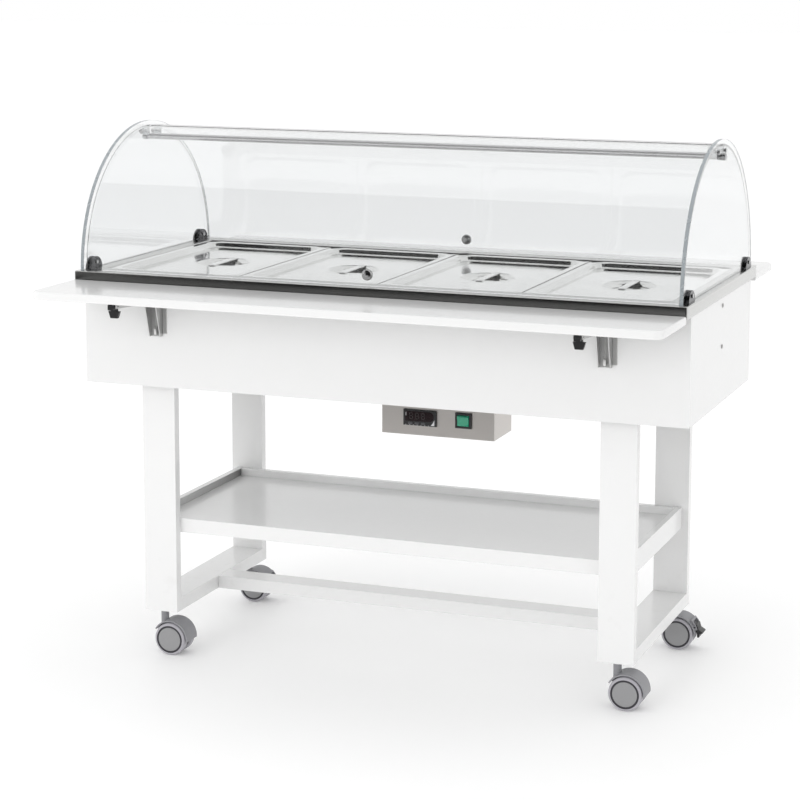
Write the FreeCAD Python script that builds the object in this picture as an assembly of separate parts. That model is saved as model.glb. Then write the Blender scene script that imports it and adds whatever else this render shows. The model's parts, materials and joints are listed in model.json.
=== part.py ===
"""Mobile steam table: four gastronorm wells under a hinged acrylic dome, on a castered board frame.

Millimetres, +Z up.  The origin is on the floor under the middle of the unit, +X to the right as
the operator's controls face -Y.  Each sub-part is written to parts/NAME.step.
"""
import FreeCAD, Part
import math
import os

from FreeCAD import Vector

# ---------------------------------------------------------------- driving dimensions
CASTER_HEIGHT = 100.0        # floor to the underside of the frame
WHEEL_RADIUS = 37.5
WHEEL_WIDTH = 20.0           # one disc of a twin wheel
CASTER_TRAIL = 24.0          # swivel axis to axle

FRAME_LENGTH = 1156.0        # over the outer faces of the two end frames
POST_WIDTH = 80.0            # along X
POST_THICK = 22.0            # along Y
FOOT_THICK = 30.0            # bottom boards and stretcher
STRETCHER_WIDTH = 60.0

SHELF_LENGTH = 1126.0
SHELF_BOTTOM = 284.0
SHELF_EDGE_HEIGHT = 33.0     # front edge band
SHELF_PANEL = 16.0
SHELF_RIM_HEIGHT = 50.0      # side and rear rim boards
SHELF_RIM_THICK = 15.0

DECK_LENGTH = 1400.0
DECK_DEPTH = 660.0
DECK_TOP = 890.0             # working height
DECK_FLANGE = 27.0
SHEET = 1.5                  # stainless deck sheet

APRON_LENGTH = 1394.0
APRON_DEPTH = 570.0
APRON_THICK = 16.0
APRON_BOTTOM = 631.0
RAIL_THICK = 24.0            # inner rails that carry the posts
RAIL_HEIGHT = 40.0
RAIL_RISE = 5.0              # rail underside above the apron's lower edge

WELL_COUNT = 4
WELL_PITCH = 326.0           # one gastronorm 1/1 place, 325 wide
WELL_DEPTH = 532.0           # recess front to back
LEDGE_DROP = 4.0             # deck top to the ledge that the pans hang on
LEDGE_WIDTH = 13.0
TANK_ROOM = 38.5             # pan floor to tank floor, for the water and the element
TANK_WALL = 1.2
DIVIDER_WIDTH = 18.0
DIVIDER_HEIGHT = 12.0

PAN_RIM_X = 323.0
PAN_RIM_Y = 528.0
PAN_BODY_X = 300.0
PAN_BODY_Y = 500.0
PAN_DEPTH = 150.0
PAN_WALL = 1.0
LID_X = 321.0
LID_Y = 526.0
LID_RIM = 17.0
LID_SINK = 12.0              # lid rim to the sunk field
LID_CORNER = 30.0
LID_WALL = 1.0
BOWL_RADIUS = 58.0
BOWL_DEPTH = 16.0
BOWL_FOOT = 51.0             # radius at the bottom
BOWL_FILLET = 5.0
REST_GAP = 0.3               # between a loose piece and what it rests on

DOME_HALF_DEPTH = 320.0      # end panel, half its foot
DOME_HEIGHT = 313.0          # end panel over the deck
PANEL_THICK = 8.0
PANEL_INSET = 12.0           # deck end to the panel's outer face
DOOR_INSET = 10.0            # panel outline to the door skin
DOOR_THICK = 5.0
DOOR_TOP_Y = 20.0            # top edge of a door from the middle
STRIP_HALF = 12.0            # fixed strip between the doors
HINGE_Y = 30.0
HINGE_DROP = 26.0            # panel apex to the door hinge axis
ROD_RADIUS = 7.0
ROD_DROP = 37.0              # panel apex to the rod's axis
CLAMP_Y = 270.0
CLAMP_RADIUS = 26.0
CLAMP_THICK = 6.0

FLAP_WIDTH = 194.0
FLAP_THICK = 18.0
FLAP_LENGTH = 1396.0
FLAP_DROP = 19.0             # deck top to the flap's top
FLAP_GAP = 2.0               # deck flange to the flap's inner edge
BRACKET_X = 518.0            # middle of a folding bracket
BRACKET_HEIGHT = 104.0
PIVOT_DROP = 12.0            # flap underside to the pivot axis
PIVOT_OUT = 27.0             # apron face to the pivot axis
PIVOT_RADIUS = 4.0

BOX_LENGTH = 260.0           # control box
BOX_MIDDLE_X = 118.0
BOX_FRONT = 202.0            # distance of its face in front of the middle
BOX_DEPTH = 118.0
BOX_BOTTOM = 551.0
BOX_WALL = 1.2

FIT = 0.1                    # radial running clearance of pins in holes
GAP = 0.5                    # clearance between pieces that slide past each other

# ---------------------------------------------------------------- derived levels and planes
FOOT_TOP = CASTER_HEIGHT + FOOT_THICK
LEDGE_TOP = DECK_TOP - LEDGE_DROP
LEDGE_UNDER = LEDGE_TOP - SHEET
WELL_LENGTH = WELL_COUNT * WELL_PITCH
OPEN_X = WELL_LENGTH / 2 - LEDGE_WIDTH
OPEN_Y = WELL_DEPTH / 2 - LEDGE_WIDTH
TANK_DEPTH = PAN_DEPTH + TANK_ROOM
TANK_FLOOR = LEDGE_UNDER - TANK_DEPTH
TANK_UNDER = TANK_FLOOR - TANK_WALL
APRON_FACE = APRON_DEPTH / 2
APRON_INNER = APRON_FACE - APRON_THICK
APRON_TOP = DECK_TOP - SHEET
POST_OUTER = APRON_INNER - RAIL_THICK
POST_INNER = POST_OUTER - POST_THICK
RAIL_BOTTOM = APRON_BOTTOM + RAIL_RISE
RAIL_TOP = RAIL_BOTTOM + RAIL_HEIGHT
TRAY_LEVEL = RAIL_BOTTOM + 4.0
FRAME_OUTER = FRAME_LENGTH / 2
FRAME_INNER = FRAME_OUTER - POST_WIDTH
PANEL_OUTER = DECK_LENGTH / 2 - PANEL_INSET
PANEL_INNER = PANEL_OUTER - PANEL_THICK
DOME_TOP = DECK_TOP + DOME_HEIGHT
HINGE_Z = DOME_TOP - HINGE_DROP
ROD_Z = DOME_TOP - ROD_DROP
FLAP_TOP = DECK_TOP - FLAP_DROP
FLAP_UNDER = FLAP_TOP - FLAP_THICK
FLAP_INNER = DECK_DEPTH / 2 + FLAP_GAP
FLAP_OUTER = FLAP_INNER + FLAP_WIDTH
PIVOT_Y = APRON_FACE + PIVOT_OUT
PIVOT_Z = FLAP_UNDER - PIVOT_DROP
CASTER_X = FRAME_OUTER - POST_WIDTH / 2
CASTER_Y = POST_OUTER - 19.0
BOX_TOP = TRAY_LEVEL
BOX_X0 = BOX_MIDDLE_X - BOX_LENGTH / 2
BOX_X1 = BOX_MIDDLE_X + BOX_LENGTH / 2
DRAIN_X = -420.0
DRAIN_RADIUS = 10.0

AXIS_X = Vector(1, 0, 0)
AXIS_Y = Vector(0, 1, 0)
AXIS_Z = Vector(0, 0, 1)


# ---------------------------------------------------------------- small shape helpers
def block(x0, x1, y0, y1, z0, z1):
    """Axis-aligned box between two corners, given in either order."""
    low = Vector(min(x0, x1), min(y0, y1), min(z0, z1))
    return Part.makeBox(abs(x1 - x0), abs(y1 - y0), abs(z1 - z0), low)


def rod(x, y, z, radius, length, axis):
    """Round bar that starts at a point and runs along an axis."""
    return Part.makeCylinder(radius, length, Vector(x, y, z), axis)


def fuse(shapes):
    """One solid from pieces that overlap or share faces."""
    joined = shapes[0]
    for shape in shapes[1:]:
        joined = joined.fuse(shape)
    return joined.removeSplitter()


def cut(shape, tools):
    for tool in tools:
        shape = shape.cut(tool)
    return shape


def round_upright_edges(shape, radius):
    """Fillet of every vertical straight edge."""
    upright = []
    for edge in shape.Edges:
        line = isinstance(edge.Curve, Part.Line)
        if line and abs(edge.tangentAt(edge.FirstParameter).z) > 0.999:
            upright.append(edge)
    return shape.makeFillet(radius, upright)


def rounded_block(x0, x1, y0, y1, z0, z1, radius):
    return round_upright_edges(block(x0, x1, y0, y1, z0, z1), radius)


def plate_yz(points, x0, x1):
    """Flat plate with an outline of (y, z) points, between two X planes."""
    corners = [Vector(x0, y, z) for y, z in points]
    face = Part.Face(Part.makePolygon(corners + corners[:1]))
    return face.extrude(Vector(x1 - x0, 0, 0))


def plate_xz(points, y0, y1):
    """Flat plate with an outline of (x, z) points, between two Y planes."""
    corners = [Vector(x, y0, z) for x, z in points]
    face = Part.Face(Part.makePolygon(corners + corners[:1]))
    return face.extrude(Vector(0, y1 - y0, 0))


def turned(points, place, axis):
    """Solid of revolution about Z from (radius, height) points, moved to a place, Z turned to axis."""
    corners = [Vector(r, 0, h) for r, h in points]
    face = Part.Face(Part.makePolygon(corners + corners[:1]))
    solid = face.revolve(Vector(0, 0, 0), AXIS_Z, 360)
    solid.Placement = FreeCAD.Placement(place, FreeCAD.Rotation(AXIS_Z, axis))
    return solid


def mirror_x(shape):
    return shape.mirror(Vector(0, 0, 0), AXIS_X)


def mirror_y(shape):
    return shape.mirror(Vector(0, 0, 0), AXIS_Y)


def both_ends(shape):
    return [shape, mirror_x(shape)]


def all_corners(shape):
    return both_ends(shape) + both_ends(mirror_y(shape))


def write(name, shapes):
    """One STEP file per node; a list is a group of separate solids."""
    if isinstance(shapes, list):
        solids = [solid for shape in shapes for solid in shape.Solids]
    else:
        solids = shapes.Solids
    shape = solids[0] if len(solids) == 1 else Part.makeCompound(solids)
    shape.exportStep("parts/" + name + ".step")


# ---------------------------------------------------------------- board frame
POST_BOLT_Z = (RAIL_BOTTOM + 13.0, RAIL_TOP - 13.0)
POST_BOLT_X = CASTER_X
POST_BOLT_RADIUS = 3.0
BOLT_HEAD_RADIUS = 6.5
BOLT_HEAD = 4.0
CASTER_STEM_RADIUS = 5.0
CASTER_STEM_LENGTH = 26.0
SIDE_SCREW_Z = (755.0, 845.0)
SIDE_SCREW_RADIUS = 2.5


def caster_stem_hole():
    depth = CASTER_STEM_LENGTH + 1.0
    return rod(CASTER_X, CASTER_Y, CASTER_HEIGHT, CASTER_STEM_RADIUS + FIT, depth, AXIS_Z)


def post_bolt(radius, y0, y1, z):
    return rod(POST_BOLT_X, min(y0, y1), z, radius, abs(y1 - y0), AXIS_Y)


def posts():
    """Four uprights; each stands on a caster and is bolted to a rail inside the apron."""
    post = block(FRAME_INNER, FRAME_OUTER, POST_INNER, POST_OUTER, CASTER_HEIGHT, RAIL_TOP)
    tools = [caster_stem_hole()]
    tools += [post_bolt(POST_BOLT_RADIUS + FIT, POST_INNER, POST_OUTER, z) for z in POST_BOLT_Z]
    return all_corners(cut(post, tools))


def foot_boards():
    """Bottom board of each end frame, between its two posts."""
    board = block(FRAME_INNER, FRAME_OUTER, -POST_INNER, POST_INNER, CASTER_HEIGHT, FOOT_TOP)
    holes = [caster_stem_hole(), mirror_y(caster_stem_hole())]
    return both_ends(cut(board, holes))


def stretcher_board():
    half = STRETCHER_WIDTH / 2
    return block(-FRAME_INNER, FRAME_INNER, -half, half, CASTER_HEIGHT, FOOT_TOP)


def side_screw_hole(z):
    x0 = APRON_LENGTH / 2 - APRON_THICK
    return rod(x0, 0, z, SIDE_SCREW_RADIUS + FIT, APRON_THICK, AXIS_X)


def apron_boards():
    """White boards round the well, and the rails inside them that the posts are bolted to."""
    half = APRON_LENGTH / 2
    inner = half - APRON_THICK
    front = block(-half, half, -APRON_FACE, -APRON_INNER, APRON_BOTTOM, APRON_TOP)
    end = block(inner, half, -APRON_INNER, APRON_INNER, APRON_BOTTOM, APRON_TOP)
    end = cut(end, [side_screw_hole(z) for z in SIDE_SCREW_Z])
    rail = block(-inner, inner, POST_OUTER, APRON_INNER, RAIL_BOTTOM, RAIL_TOP)
    depth = RAIL_THICK - 6.0
    holes = []
    for z in POST_BOLT_Z:
        hole = post_bolt(POST_BOLT_RADIUS + FIT, POST_OUTER, POST_OUTER + depth, z)
        holes += both_ends(hole)
    rail = cut(rail, holes)
    return [front, mirror_y(front)] + both_ends(end) + [rail, mirror_y(rail)]


def frame_screws():
    """Bolts of the posts into the rails, heads inwards, and the domed screws of the apron ends."""
    bolts = []
    for z in POST_BOLT_Z:
        shank = post_bolt(POST_BOLT_RADIUS, POST_INNER, POST_OUTER + RAIL_THICK - 8.0, z)
        head = post_bolt(BOLT_HEAD_RADIUS, POST_INNER - BOLT_HEAD, POST_INNER, z)
        bolts += all_corners(fuse([shank, head]))
    for z in SIDE_SCREW_Z:
        x0 = APRON_LENGTH / 2 - APRON_THICK
        shank = rod(x0, 0, z, SIDE_SCREW_RADIUS, APRON_THICK, AXIS_X)
        head = [(0, 0), (5.0, 0), (5.0, 0.8), (3.8, 2.0), (0, 2.6)]
        dome = turned(head, Vector(APRON_LENGTH / 2, 0, z), AXIS_X)
        bolts += both_ends(fuse([shank, dome]))
    return bolts


def shelf_tray():
    """Lower shelf: a panel, a deep front edge band and raised rim boards on three sides."""
    half = SHELF_LENGTH / 2
    top = SHELF_BOTTOM + SHELF_EDGE_HEIGHT
    inner_x = half - SHELF_RIM_THICK
    inner_y = POST_INNER - SHELF_RIM_THICK
    rim_top = SHELF_BOTTOM + SHELF_RIM_HEIGHT
    panel = block(-inner_x, inner_x, -inner_y, inner_y, top - SHELF_PANEL, top)
    edge = block(-inner_x, inner_x, -POST_INNER, -inner_y, SHELF_BOTTOM, top)
    side = block(inner_x, half, -POST_INNER, POST_INNER, SHELF_BOTTOM, rim_top)
    rear = block(-inner_x, inner_x, inner_y, POST_INNER, SHELF_BOTTOM, rim_top)
    return [panel, edge, rear] + both_ends(side)


# ---------------------------------------------------------------- stainless well
def deck():
    """Pressed deck: folded edge all round, and a recess with a ledge round one large opening."""
    half_x = DECK_LENGTH / 2
    half_y = DECK_DEPTH / 2
    outer = rounded_block(-half_x, half_x, -half_y, half_y, DECK_TOP - DECK_FLANGE, DECK_TOP, 6.0)
    x = half_x - SHEET
    y = half_y - SHEET
    hollow = rounded_block(-x, x, -y, y, DECK_TOP - DECK_FLANGE, DECK_TOP - SHEET, 4.5)
    skin = outer.cut(hollow)
    wx = WELL_LENGTH / 2
    wy = WELL_DEPTH / 2
    collar = rounded_block(-wx - SHEET, wx + SHEET, -wy - SHEET, wy + SHEET, LEDGE_UNDER, DECK_TOP, 11.5)
    recess = rounded_block(-wx, wx, -wy, wy, LEDGE_TOP, DECK_TOP + 1.0, 10.0)
    opening = rounded_block(-OPEN_X, OPEN_X, -OPEN_Y, OPEN_Y, LEDGE_UNDER - 1.0, DECK_TOP, 18.0)
    return cut(fuse([skin, collar]), [recess, opening])


def well_seams():
    first = -(WELL_COUNT / 2 - 1) * WELL_PITCH
    return [first + i * WELL_PITCH for i in range(WELL_COUNT - 1)]


def well_middles():
    first = -(WELL_COUNT - 1) / 2 * WELL_PITCH
    return [first + i * WELL_PITCH for i in range(WELL_COUNT)]


def divider_bars():
    """Folded cross bars between the wells, level with the ledge, open underneath."""
    half = DIVIDER_WIDTH / 2
    bars = []
    for x in well_seams():
        bar = block(x - half, x + half, -OPEN_Y, OPEN_Y, LEDGE_TOP - DIVIDER_HEIGHT, LEDGE_TOP)
        inside = half - SHEET
        groove_top = LEDGE_TOP - SHEET
        groove = block(x - inside, x + inside, -OPEN_Y, OPEN_Y, LEDGE_TOP - DIVIDER_HEIGHT, groove_top)
        bars.append(bar.cut(groove))
    return bars


ELEMENT_RADIUS = 4.0
ELEMENT_Y = 90.0
ELEMENT_LEVEL = TANK_FLOOR + 14.0
ELEMENT_START = OPEN_X - 79.0
ELEMENT_BEND = 12.0
ELEMENT_TAIL = 18.0          # below the tank


def element_path():
    """Centre line: up through the tank floor, along, a half turn, back and down again."""
    bend = ELEMENT_BEND
    z = ELEMENT_LEVEL
    start = ELEMENT_START
    turn_x = -start + ELEMENT_Y
    corner = bend * math.sqrt(0.5)
    edges = []
    for side in (-1, 1):
        y = side * ELEMENT_Y
        low = Vector(start + bend, y, TANK_UNDER - ELEMENT_TAIL)
        foot = Vector(start + bend, y, z - bend)
        mid = Vector(start + corner, y, z - bend + corner)
        knee = Vector(start, y, z)
        end = Vector(turn_x, y, z)
        run = [Part.makeLine(low, foot), Part.Arc(foot, mid, knee).toShape(), Part.makeLine(knee, end)]
        edges += run if side < 0 else run[::-1]
        if side < 0:
            left = Vector(turn_x - ELEMENT_Y, 0, z)
            other = Vector(turn_x, ELEMENT_Y, z)
            edges.append(Part.Arc(end, left, other).toShape())
    return Part.Wire(Part.__sortEdges__(edges))


def heating_element():
    """Tubular element lying over the tank floor, with a hexagon nut on each tail."""
    path = element_path()
    start = Vector(ELEMENT_START + ELEMENT_BEND, -ELEMENT_Y, TANK_UNDER - ELEMENT_TAIL)
    ring = Part.Wire(Part.makeCircle(ELEMENT_RADIUS, start, AXIS_Z))
    tube = path.makePipeShell([ring], True, True)
    nuts = []
    for side in (-1, 1):
        centre = Vector(start.x, side * ELEMENT_Y, TANK_UNDER - 7.0)
        nuts.append(hexagon(centre, 9.0, 7.0).cut(hole_under_tank(centre)))
    return fuse([tube] + nuts)


def hole_under_tank(centre):
    return rod(centre.x, centre.y, centre.z - 1.0, ELEMENT_RADIUS - 1.0, 9.0, AXIS_Z)


def hexagon(centre, radius, height):
    """Upright hexagonal prism."""
    points = []
    for i in range(6):
        angle = math.radians(60 * i)
        points.append(centre + Vector(radius * math.cos(angle), radius * math.sin(angle), 0))
    face = Part.Face(Part.makePolygon(points + points[:1]))
    return face.extrude(Vector(0, 0, height))


TANK_CORNER = 18.0


def water_tank():
    """Wall wrap under the ledge, welded to a floor plate with a drain hole and two element holes."""
    w = TANK_WALL
    x = OPEN_X + w
    y = OPEN_Y + w
    wrap = rounded_block(-x, x, -y, y, TANK_FLOOR, LEDGE_UNDER, TANK_CORNER + w)
    hollow = rounded_block(-OPEN_X, OPEN_X, -OPEN_Y, OPEN_Y, TANK_FLOOR, LEDGE_UNDER, TANK_CORNER)
    floor = rounded_block(-x, x, -y, y, TANK_UNDER, TANK_FLOOR, TANK_CORNER + w)
    holes = [rod(DRAIN_X, 0, TANK_UNDER, DRAIN_RADIUS, w, AXIS_Z)]
    for side in (-1, 1):
        start = ELEMENT_START + ELEMENT_BEND
        holes.append(rod(start, side * ELEMENT_Y, TANK_UNDER, ELEMENT_RADIUS + 0.05, w, AXIS_Z))
    return Part.makeCompound([wrap.cut(hollow), cut(floor, holes)])


BLANKET_X = FRAME_INNER - 8.0
BLANKET_Y = POST_OUTER - 8.0


def tank_insulation():
    """Mineral wool slab under the tank, on the closing tray."""
    slab = block(-BLANKET_X, BLANKET_X, -BLANKET_Y, BLANKET_Y, TRAY_LEVEL + 1.0, TANK_UNDER)
    return slab.cut(rod(DRAIN_X, 0, TRAY_LEVEL, DRAIN_RADIUS + 5.0, TANK_UNDER, AXIS_Z))


def underside_tray():
    """Thin closing sheet between the rails, with folded edges screwed to them."""
    x = FRAME_INNER - 4.0
    sheet = block(-x, x, -POST_OUTER, POST_OUTER, TRAY_LEVEL, TRAY_LEVEL + 1.0)
    edge = block(-x, x, POST_OUTER - 1.0, POST_OUTER, TRAY_LEVEL, TRAY_LEVEL + 16.0)
    drain = rod(DRAIN_X, 0, TRAY_LEVEL, DRAIN_RADIUS + 5.0, 1.0, AXIS_Z)
    return fuse([sheet, edge, mirror_y(edge)]).cut(drain)


PROBE_RADIUS = 3.0
PROBE_LENGTH = 80.0
PROBE_Y = 150.0
PROBE_CLIP_X = (30.0, 44.0)  # from the bulb's start
PROBE_CLIP_HALF = 7.0
PROBE_CLIP_THICK = 1.5


def temperature_probe():
    """Thermostat bulb under the tank floor, in a U-shaped clip."""
    x = BLANKET_X + 12.0
    y = PROBE_Y
    r = PROBE_RADIUS
    z = TANK_UNDER - r
    bulb = rod(x, y, z, r, PROBE_LENGTH, AXIS_X)
    x0 = x + PROBE_CLIP_X[0]
    x1 = x + PROBE_CLIP_X[1]
    half = PROBE_CLIP_HALF
    clip = block(x0, x1, y - half, y + half, z - r - PROBE_CLIP_THICK, TANK_UNDER)
    slot = block(x0, x1, y - r, y + r, z, TANK_UNDER)
    return [bulb, cut(clip, [rod(x, y, z, r, PROBE_LENGTH, AXIS_X), slot])]


# ---------------------------------------------------------------- pans and lids
PAN_UNDER_RIM = LEDGE_TOP + REST_GAP
PAN_RIM_TOP = PAN_UNDER_RIM + PAN_WALL
LID_UNDER = PAN_RIM_TOP + REST_GAP
LID_RIM_TOP = LID_UNDER + LID_WALL
FIELD_TOP = LID_RIM_TOP - LID_SINK


def pan(x):
    """Gastronorm 1/1 pan, hanging by its rim on the ledge and the divider bars."""
    hx = PAN_BODY_X / 2
    hy = PAN_BODY_Y / 2
    floor = PAN_RIM_TOP - PAN_DEPTH
    rim = rounded_block(x - PAN_RIM_X / 2, x + PAN_RIM_X / 2, -PAN_RIM_Y / 2, PAN_RIM_Y / 2,
                        PAN_UNDER_RIM, PAN_RIM_TOP, 12.0)
    body = rounded_block(x - hx, x + hx, -hy, hy, floor, PAN_RIM_TOP, 36.0)
    w = PAN_WALL
    inside = rounded_block(x - hx + w, x + hx - w, -hy + w, hy - w, floor + w, PAN_RIM_TOP + 1.0, 35.0)
    return fuse([rim, body]).cut(inside)


def lid_bowl(x, inner):
    """Round finger dish in the middle of a lid: steep sides and a rounded foot."""
    grow = 0.0 if inner else LID_WALL
    low = FIELD_TOP - BOWL_DEPTH - grow
    top = FIELD_TOP + (0.5 if inner else 0.0)
    flare = (BOWL_RADIUS - BOWL_FOOT) / BOWL_DEPTH
    foot = BOWL_FOOT + grow
    dish = Part.makeCone(foot, foot + flare * (top - low), top - low, Vector(x, 0, low), AXIS_Z)
    return dish.makeFillet(BOWL_FILLET + grow, [e for e in dish.Edges if e.BoundBox.ZMax < low + 0.01])


def lid_hollow(x, half_x, half_y, low, top, corner):
    """Sunk field as a solid, its lower edge rounded."""
    field = rounded_block(x - half_x, x + half_x, -half_y, half_y, low, top, corner)
    edges = [e for e in field.Edges if e.BoundBox.ZMax < low + 0.01]
    return field.makeFillet(LID_FILLET, edges)


LID_FILLET = 5.0
HANDLE_WIDTH = 16.0
HANDLE_THICK = 2.5
HANDLE_LAP = 8.0             # handle bar past the bowl at each end


def lid(x):
    """Pressed cover: flat rim, sunk field with rounded corners, dished middle and bar handle."""
    w = LID_WALL
    hx = LID_X / 2
    hy = LID_Y / 2
    rim = rounded_block(x - hx, x + hx, -hy, hy, LID_UNDER, LID_RIM_TOP, 11.0)
    fx = hx - LID_RIM
    fy = hy - LID_RIM
    field = lid_hollow(x, fx, fy, FIELD_TOP - w, LID_RIM_TOP, LID_CORNER)
    hollow = lid_hollow(x, fx - w, fy - w, FIELD_TOP, LID_RIM_TOP + LID_FILLET, LID_CORNER - w)
    shell = fuse([rim, field]).cut(hollow)
    shell = fuse([shell, lid_bowl(x, False)]).cut(lid_bowl(x, True))
    half = BOWL_RADIUS + HANDLE_LAP
    side = HANDLE_WIDTH / 2
    top = FIELD_TOP + HANDLE_THICK
    bar = block(x - side, x + side, -half, half, FIELD_TOP, top)
    handle = bar.makeFillet(1.0, [e for e in bar.Edges if e.BoundBox.ZMin > top - 0.1])
    return [shell, handle]


# ---------------------------------------------------------------- acrylic dome
def arch_point(angle, inset):
    """Point of the dome outline, set in from the panel edge; 0 is the front foot, 180 the rear."""
    y = -(DOME_HALF_DEPTH - inset) * math.cos(math.radians(angle))
    z = DECK_TOP + (DOME_HEIGHT - inset) * math.sin(math.radians(angle))
    return y, z


def half_ellipse(inset):
    ellipse = Part.Ellipse(Vector(0, 0, 0), DOME_HALF_DEPTH - inset, DOME_HEIGHT - inset)
    edge = ellipse.toShape()
    turn = FreeCAD.Rotation(Vector(0, 1, 0), Vector(0, 0, 1), Vector(1, 0, 0), "XYZ")
    edge.Placement = FreeCAD.Placement(Vector(0, 0, DECK_TOP), turn)
    return Part.Face(Part.Wire(edge))


def dome_solid(inset, x0, x1):
    """Half-elliptic barrel over the deck between two X planes."""
    face = half_ellipse(inset)
    face.translate(Vector(x0, 0, 0))
    barrel = face.extrude(Vector(x1 - x0, 0, 0))
    reach = DOME_HALF_DEPTH + 10.0
    return barrel.common(block(x0 - 1, x1 + 1, -reach, reach, DECK_TOP, DOME_TOP + 10.0))


CLAMP_SCREW_RADIUS = 2.5
CLAMP_SCREW_Z = DECK_TOP + 14.0
ROD_BOLT_RADIUS = 4.0
HINGE_PIN_RADIUS = 3.0


def end_panels():
    """Acrylic ends of the dome, drilled for the rod, the door hinges and the clamps."""
    panel = dome_solid(0.0, PANEL_INNER, PANEL_OUTER)
    holes = [rod(PANEL_INNER, 0, ROD_Z, ROD_BOLT_RADIUS + FIT, PANEL_THICK, AXIS_X)]
    for side in (-1, 1):
        pin = rod(PANEL_INNER, side * HINGE_Y, HINGE_Z, HINGE_PIN_RADIUS + FIT, PANEL_THICK, AXIS_X)
        radius = CLAMP_SCREW_RADIUS + FIT
        screw = rod(PANEL_INNER, side * CLAMP_Y, CLAMP_SCREW_Z, radius, PANEL_THICK, AXIS_X)
        holes += [pin, screw]
    return both_ends(cut(panel, holes))


def dome_skin(x):
    return dome_solid(DOOR_INSET, -x, x).cut(dome_solid(DOOR_INSET + DOOR_THICK, -x - 1, x + 1))


def top_strip():
    """Fixed acrylic strip along the ridge, welded to the end panels."""
    skin = dome_skin(PANEL_INNER)
    return skin.common(block(-DECK_LENGTH, DECK_LENGTH, -STRIP_HALF, STRIP_HALF, HINGE_Z, DOME_TOP))


def front_door():
    """Curved acrylic door from the ridge down to just over the deck."""
    x = PANEL_INNER - 2 * GAP
    region = block(-x, x, -DOME_HALF_DEPTH, -DOOR_TOP_Y, DECK_TOP + 2 * GAP, DOME_TOP)
    knob = rod(0, -DOME_HALF_DEPTH, KNOB_Z, KNOB_SCREW + FIT, 40.0, AXIS_Y)
    return dome_skin(x).common(region).cut(knob)


LUG_WIDTH = 13.0
LUG_GAP = 2.0                # between a lug and the end panel
LUG_EASE = 1.0               # the lug's stem is narrower than its boss by this on each side
LUG_RADIUS = 7.0
KNOB_Z = DECK_TOP + 27.0
KNOB_SCREW = 2.5
KNOB_RADIUS = 12.0
KNOB_SEAT = 0.5              # the knob and its washer are shaped to the curved door
KNOB_NECK = (5.0, 5.0)       # radius and length of the neck behind the knob
KNOB_SHOULDER = (1.5, 7.0)   # inset from the rim, distance from the door
KNOB_RIM = (9.0, 13.0)       # where the full radius starts and ends
KNOB_CROWN = (2.0, 16.0)
KNOB_LENGTH = 17.5
WASHER_RADIUS = 6.0
WASHER_THICK = 3.5


def door_surface_y(z):
    """Distance of the door's outer face from the middle at a height."""
    rise = (z - DECK_TOP) / (DOME_HEIGHT - DOOR_INSET)
    return (DOME_HALF_DEPTH - DOOR_INSET) * math.sqrt(1 - rise ** 2)


def front_door_fittings():
    """Two hinge lugs cemented under the door's top edge, and its screwed-on knob."""
    x1 = PANEL_INNER - LUG_GAP
    x0 = x1 - LUG_WIDTH
    boss = rod(x0, -HINGE_Y, HINGE_Z, LUG_RADIUS, LUG_WIDTH, AXIS_X)
    half = LUG_RADIUS - LUG_EASE
    stem = block(x0, x1, -HINGE_Y - half, -HINGE_Y + half, HINGE_Z, DOME_TOP)
    under_skin = dome_solid(DOOR_INSET + DOOR_THICK, x0 - 1, x1 + 1)
    bore = rod(x0 - 1, -HINGE_Y, HINGE_Z, HINGE_PIN_RADIUS + FIT, LUG_WIDTH + 2, AXIS_X)
    lug = fuse([boss, stem.common(under_skin)]).cut(bore)
    face = door_surface_y(KNOB_Z)
    neck, neck_length = KNOB_NECK
    profile = [(0, 0), (neck, 0), (neck, neck_length), (KNOB_RADIUS - KNOB_SHOULDER[0], KNOB_SHOULDER[1]),
               (KNOB_RADIUS, KNOB_RIM[0]), (KNOB_RADIUS, KNOB_RIM[1]),
               (KNOB_RADIUS - KNOB_CROWN[0], KNOB_CROWN[1]), (0, KNOB_LENGTH)]
    skin = dome_skin(2 * KNOB_RADIUS)
    knob = turned(profile, Vector(0, -face + KNOB_SEAT, KNOB_Z), Vector(0, -1, 0)).cut(skin)
    washer = rod(0, -face + DOOR_THICK - KNOB_SEAT, KNOB_Z, WASHER_RADIUS, WASHER_THICK, AXIS_Y).cut(skin)
    length = DOOR_THICK + WASHER_THICK - KNOB_SEAT
    screw = rod(0, -face, KNOB_Z, KNOB_SCREW, length, AXIS_Y)
    return both_ends(lug) + [fuse([knob, screw, washer])]


def panel_clamps():
    """Half-round cheeks on both faces of each panel's feet, joined by a pad under the screw."""
    def cheek(x0, x1):
        disc = rod(x0, CLAMP_Y, DECK_TOP, CLAMP_RADIUS, x1 - x0, AXIS_X)
        reach = CLAMP_RADIUS + 1
        upper = block(x0, x1, CLAMP_Y - reach, CLAMP_Y + reach, DECK_TOP, DECK_TOP + reach)
        hole = rod(x0, CLAMP_Y, CLAMP_SCREW_Z, CLAMP_SCREW_RADIUS + FIT, x1 - x0, AXIS_X)
        return disc.common(upper).cut(hole)
    inner = cheek(PANEL_INNER - CLAMP_THICK, PANEL_INNER)
    outer = cheek(PANEL_OUTER, PANEL_OUTER + CLAMP_THICK)
    return all_corners(inner) + all_corners(outer)


def dome_rod():
    """Round stainless tie rod between the end panels, tapped at both ends."""
    bar = rod(-PANEL_INNER, 0, ROD_Z, ROD_RADIUS, 2 * PANEL_INNER, AXIS_X)
    tapped = rod(PANEL_INNER - ROD_TAPPING, 0, ROD_Z, ROD_BOLT_RADIUS, ROD_TAPPING, AXIS_X)
    return cut(bar, both_ends(tapped))


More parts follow.
